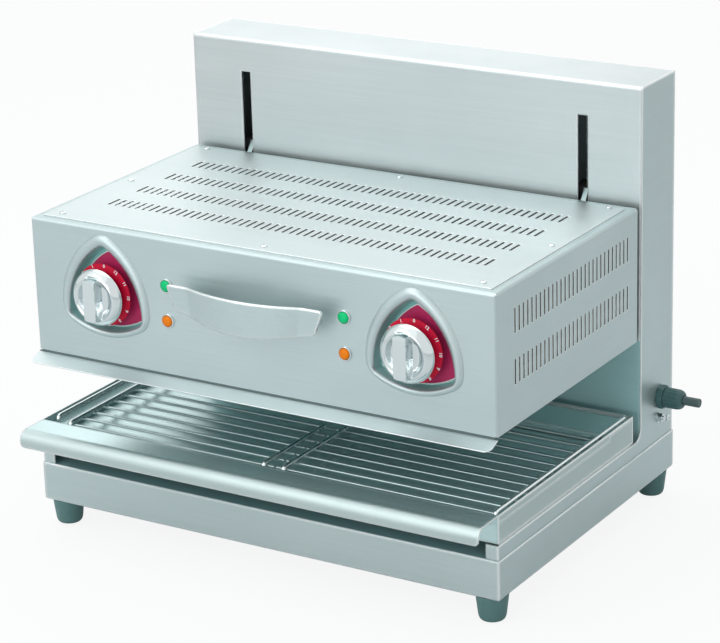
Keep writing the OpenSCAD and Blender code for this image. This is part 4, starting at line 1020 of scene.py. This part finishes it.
def add_feet():
    bm = bmesh.new()
    for x in (-FOOT_X, FOOT_X):
        for y in (FOOT_FRONT, FOOT_BACK):
            lathe(bm, in_mm(FOOT_PROFILE), Matrix.Translation((x, y, 0)), 48, closed=True)
    add_piece("rubber_feet", bm, "stand", "foot_rubber", ("feet",))


def gland_ring(reach, height, count):
    """Ring round the gland's axis whose radius in mm is a function of the angle."""
    place = facing_right(*GLAND)
    ring = []
    for i in range(count):
        a = 2 * math.pi * i / count
        ring.append(place @ Vector((reach(a) * math.cos(a) * MM, reach(a) * math.sin(a) * MM, height * MM)))
    return ring


def hexagon(across, height, soft):
    """Hexagonal ring with its corners cut back towards a circle."""
    def reach(a):
        from_flat = (a + math.pi / 6) % (math.pi / 3) - math.pi / 6
        return min(across / 2 / math.cos(from_flat), across / 2 * soft)

    return gland_ring(reach, height, 48)


def ribbed(radius, height, rib):
    """Round ring with fine grooves."""
    def reach(a):
        return radius - rib * (0.5 + 0.5 * math.cos(GLAND_RIBS * a)) ** 3

    return gland_ring(reach, height, 96)


def add_gland():
    place = facing_right(*GLAND)

    def circle(radius, height):
        return circle_points(radius * MM, height * MM, place, 48)

    bm = bmesh.new()
    thread = [circle(GLAND_BORE_R, -10.0), circle(GLAND_THREAD_R, -10.0), circle(GLAND_THREAD_R, 0.0)]
    flats = [hexagon(24.4, 0.0, 1.05), hexagon(24.6, 0.9, 1.15), hexagon(24.6, 7.0, 1.15),
             hexagon(24.4, 7.9, 1.04)]
    neck = [circle(GLAND_NECK_R, 7.95), circle(GLAND_NECK_R, 17.5), circle(GLAND_BORE_R, 17.5)]
    loft(bm, thread + flats + neck, closed=True)
    add_piece("gland_hex", bm, "stand", "gland_plastic", ("gland_body",))
    bm = bmesh.new()
    loft(bm, [ribbed(*row) for row in DOME_NUT], closed=True)
    add_piece("gland_dome_nut", bm, "stand", "gland_plastic", ("gland_nut",))


def add_cable():
    low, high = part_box("supply_cable")
    start = low.x
    end = high.x
    # Radius and distance from the cut end, in mm
    cut = [(5.3, 1.0), (5.1, 0.3), (4.7, 0.0), (4.2, 0.1), (4.0, 0.7), (1.6, 0.4), (0.3, 0.6)]
    profile = [(4.9 * MM, start), (5.3 * MM, start + 0.4 * MM)]
    profile += [(r * MM, end - short * MM) for r, short in cut]
    bm = bmesh.new()
    lathe(bm, profile, facing_right(0, GLAND[1], GLAND[2]), 40)
    add_piece("cable_tail", bm, "stand", "cable_sheath", ("supply_cable",))


# Build

def dress_cad_nodes():
    """Gives every CAD node that stays in view the finish of its material slot."""
    for row in frame["record"]["subparts"]:
        mesh = frame["nodes"][row["node"]].data
        mesh.materials.clear()
        mesh.materials.append(FINISHES[row["material_slot"]])
    special = {
        "hood_top_cover": COVER_STEEL,
        "front_lip": LIP_STEEL,
        "base_pan": PAN_STEEL,
        "left_side_panel": PANEL_STEEL,
        "right_side_panel": PANEL_STEEL,
        "column_front": COLUMN_STEEL,
        "reflector": REFLECTOR_PAINTED_SHADE,
    }
    for node, finish in special.items():
        frame["nodes"][node].data.materials[0] = finish


bpy.context.scene.view_settings.view_transform = "Standard"
add_camera()
add_world()
add_floor()
add_lights()
dress_cad_nodes()
add_dial_rims()
add_dial_faces()
for dial_side, dial_place in (("left", -DIAL_X), ("right", DIAL_X)):
    add_number_disc(dial_side, dial_place)
    add_numbers(dial_side, dial_place)
    add_knob(dial_side, dial_place)
add_lamps()
add_handle()
add_cover_screws()
for rack_side, rack_places in RACKS.items():
    add_rack(rack_side, *rack_places)
add_stop_rail()
add_feet()
add_gland()
add_cable()
add_case_screws()
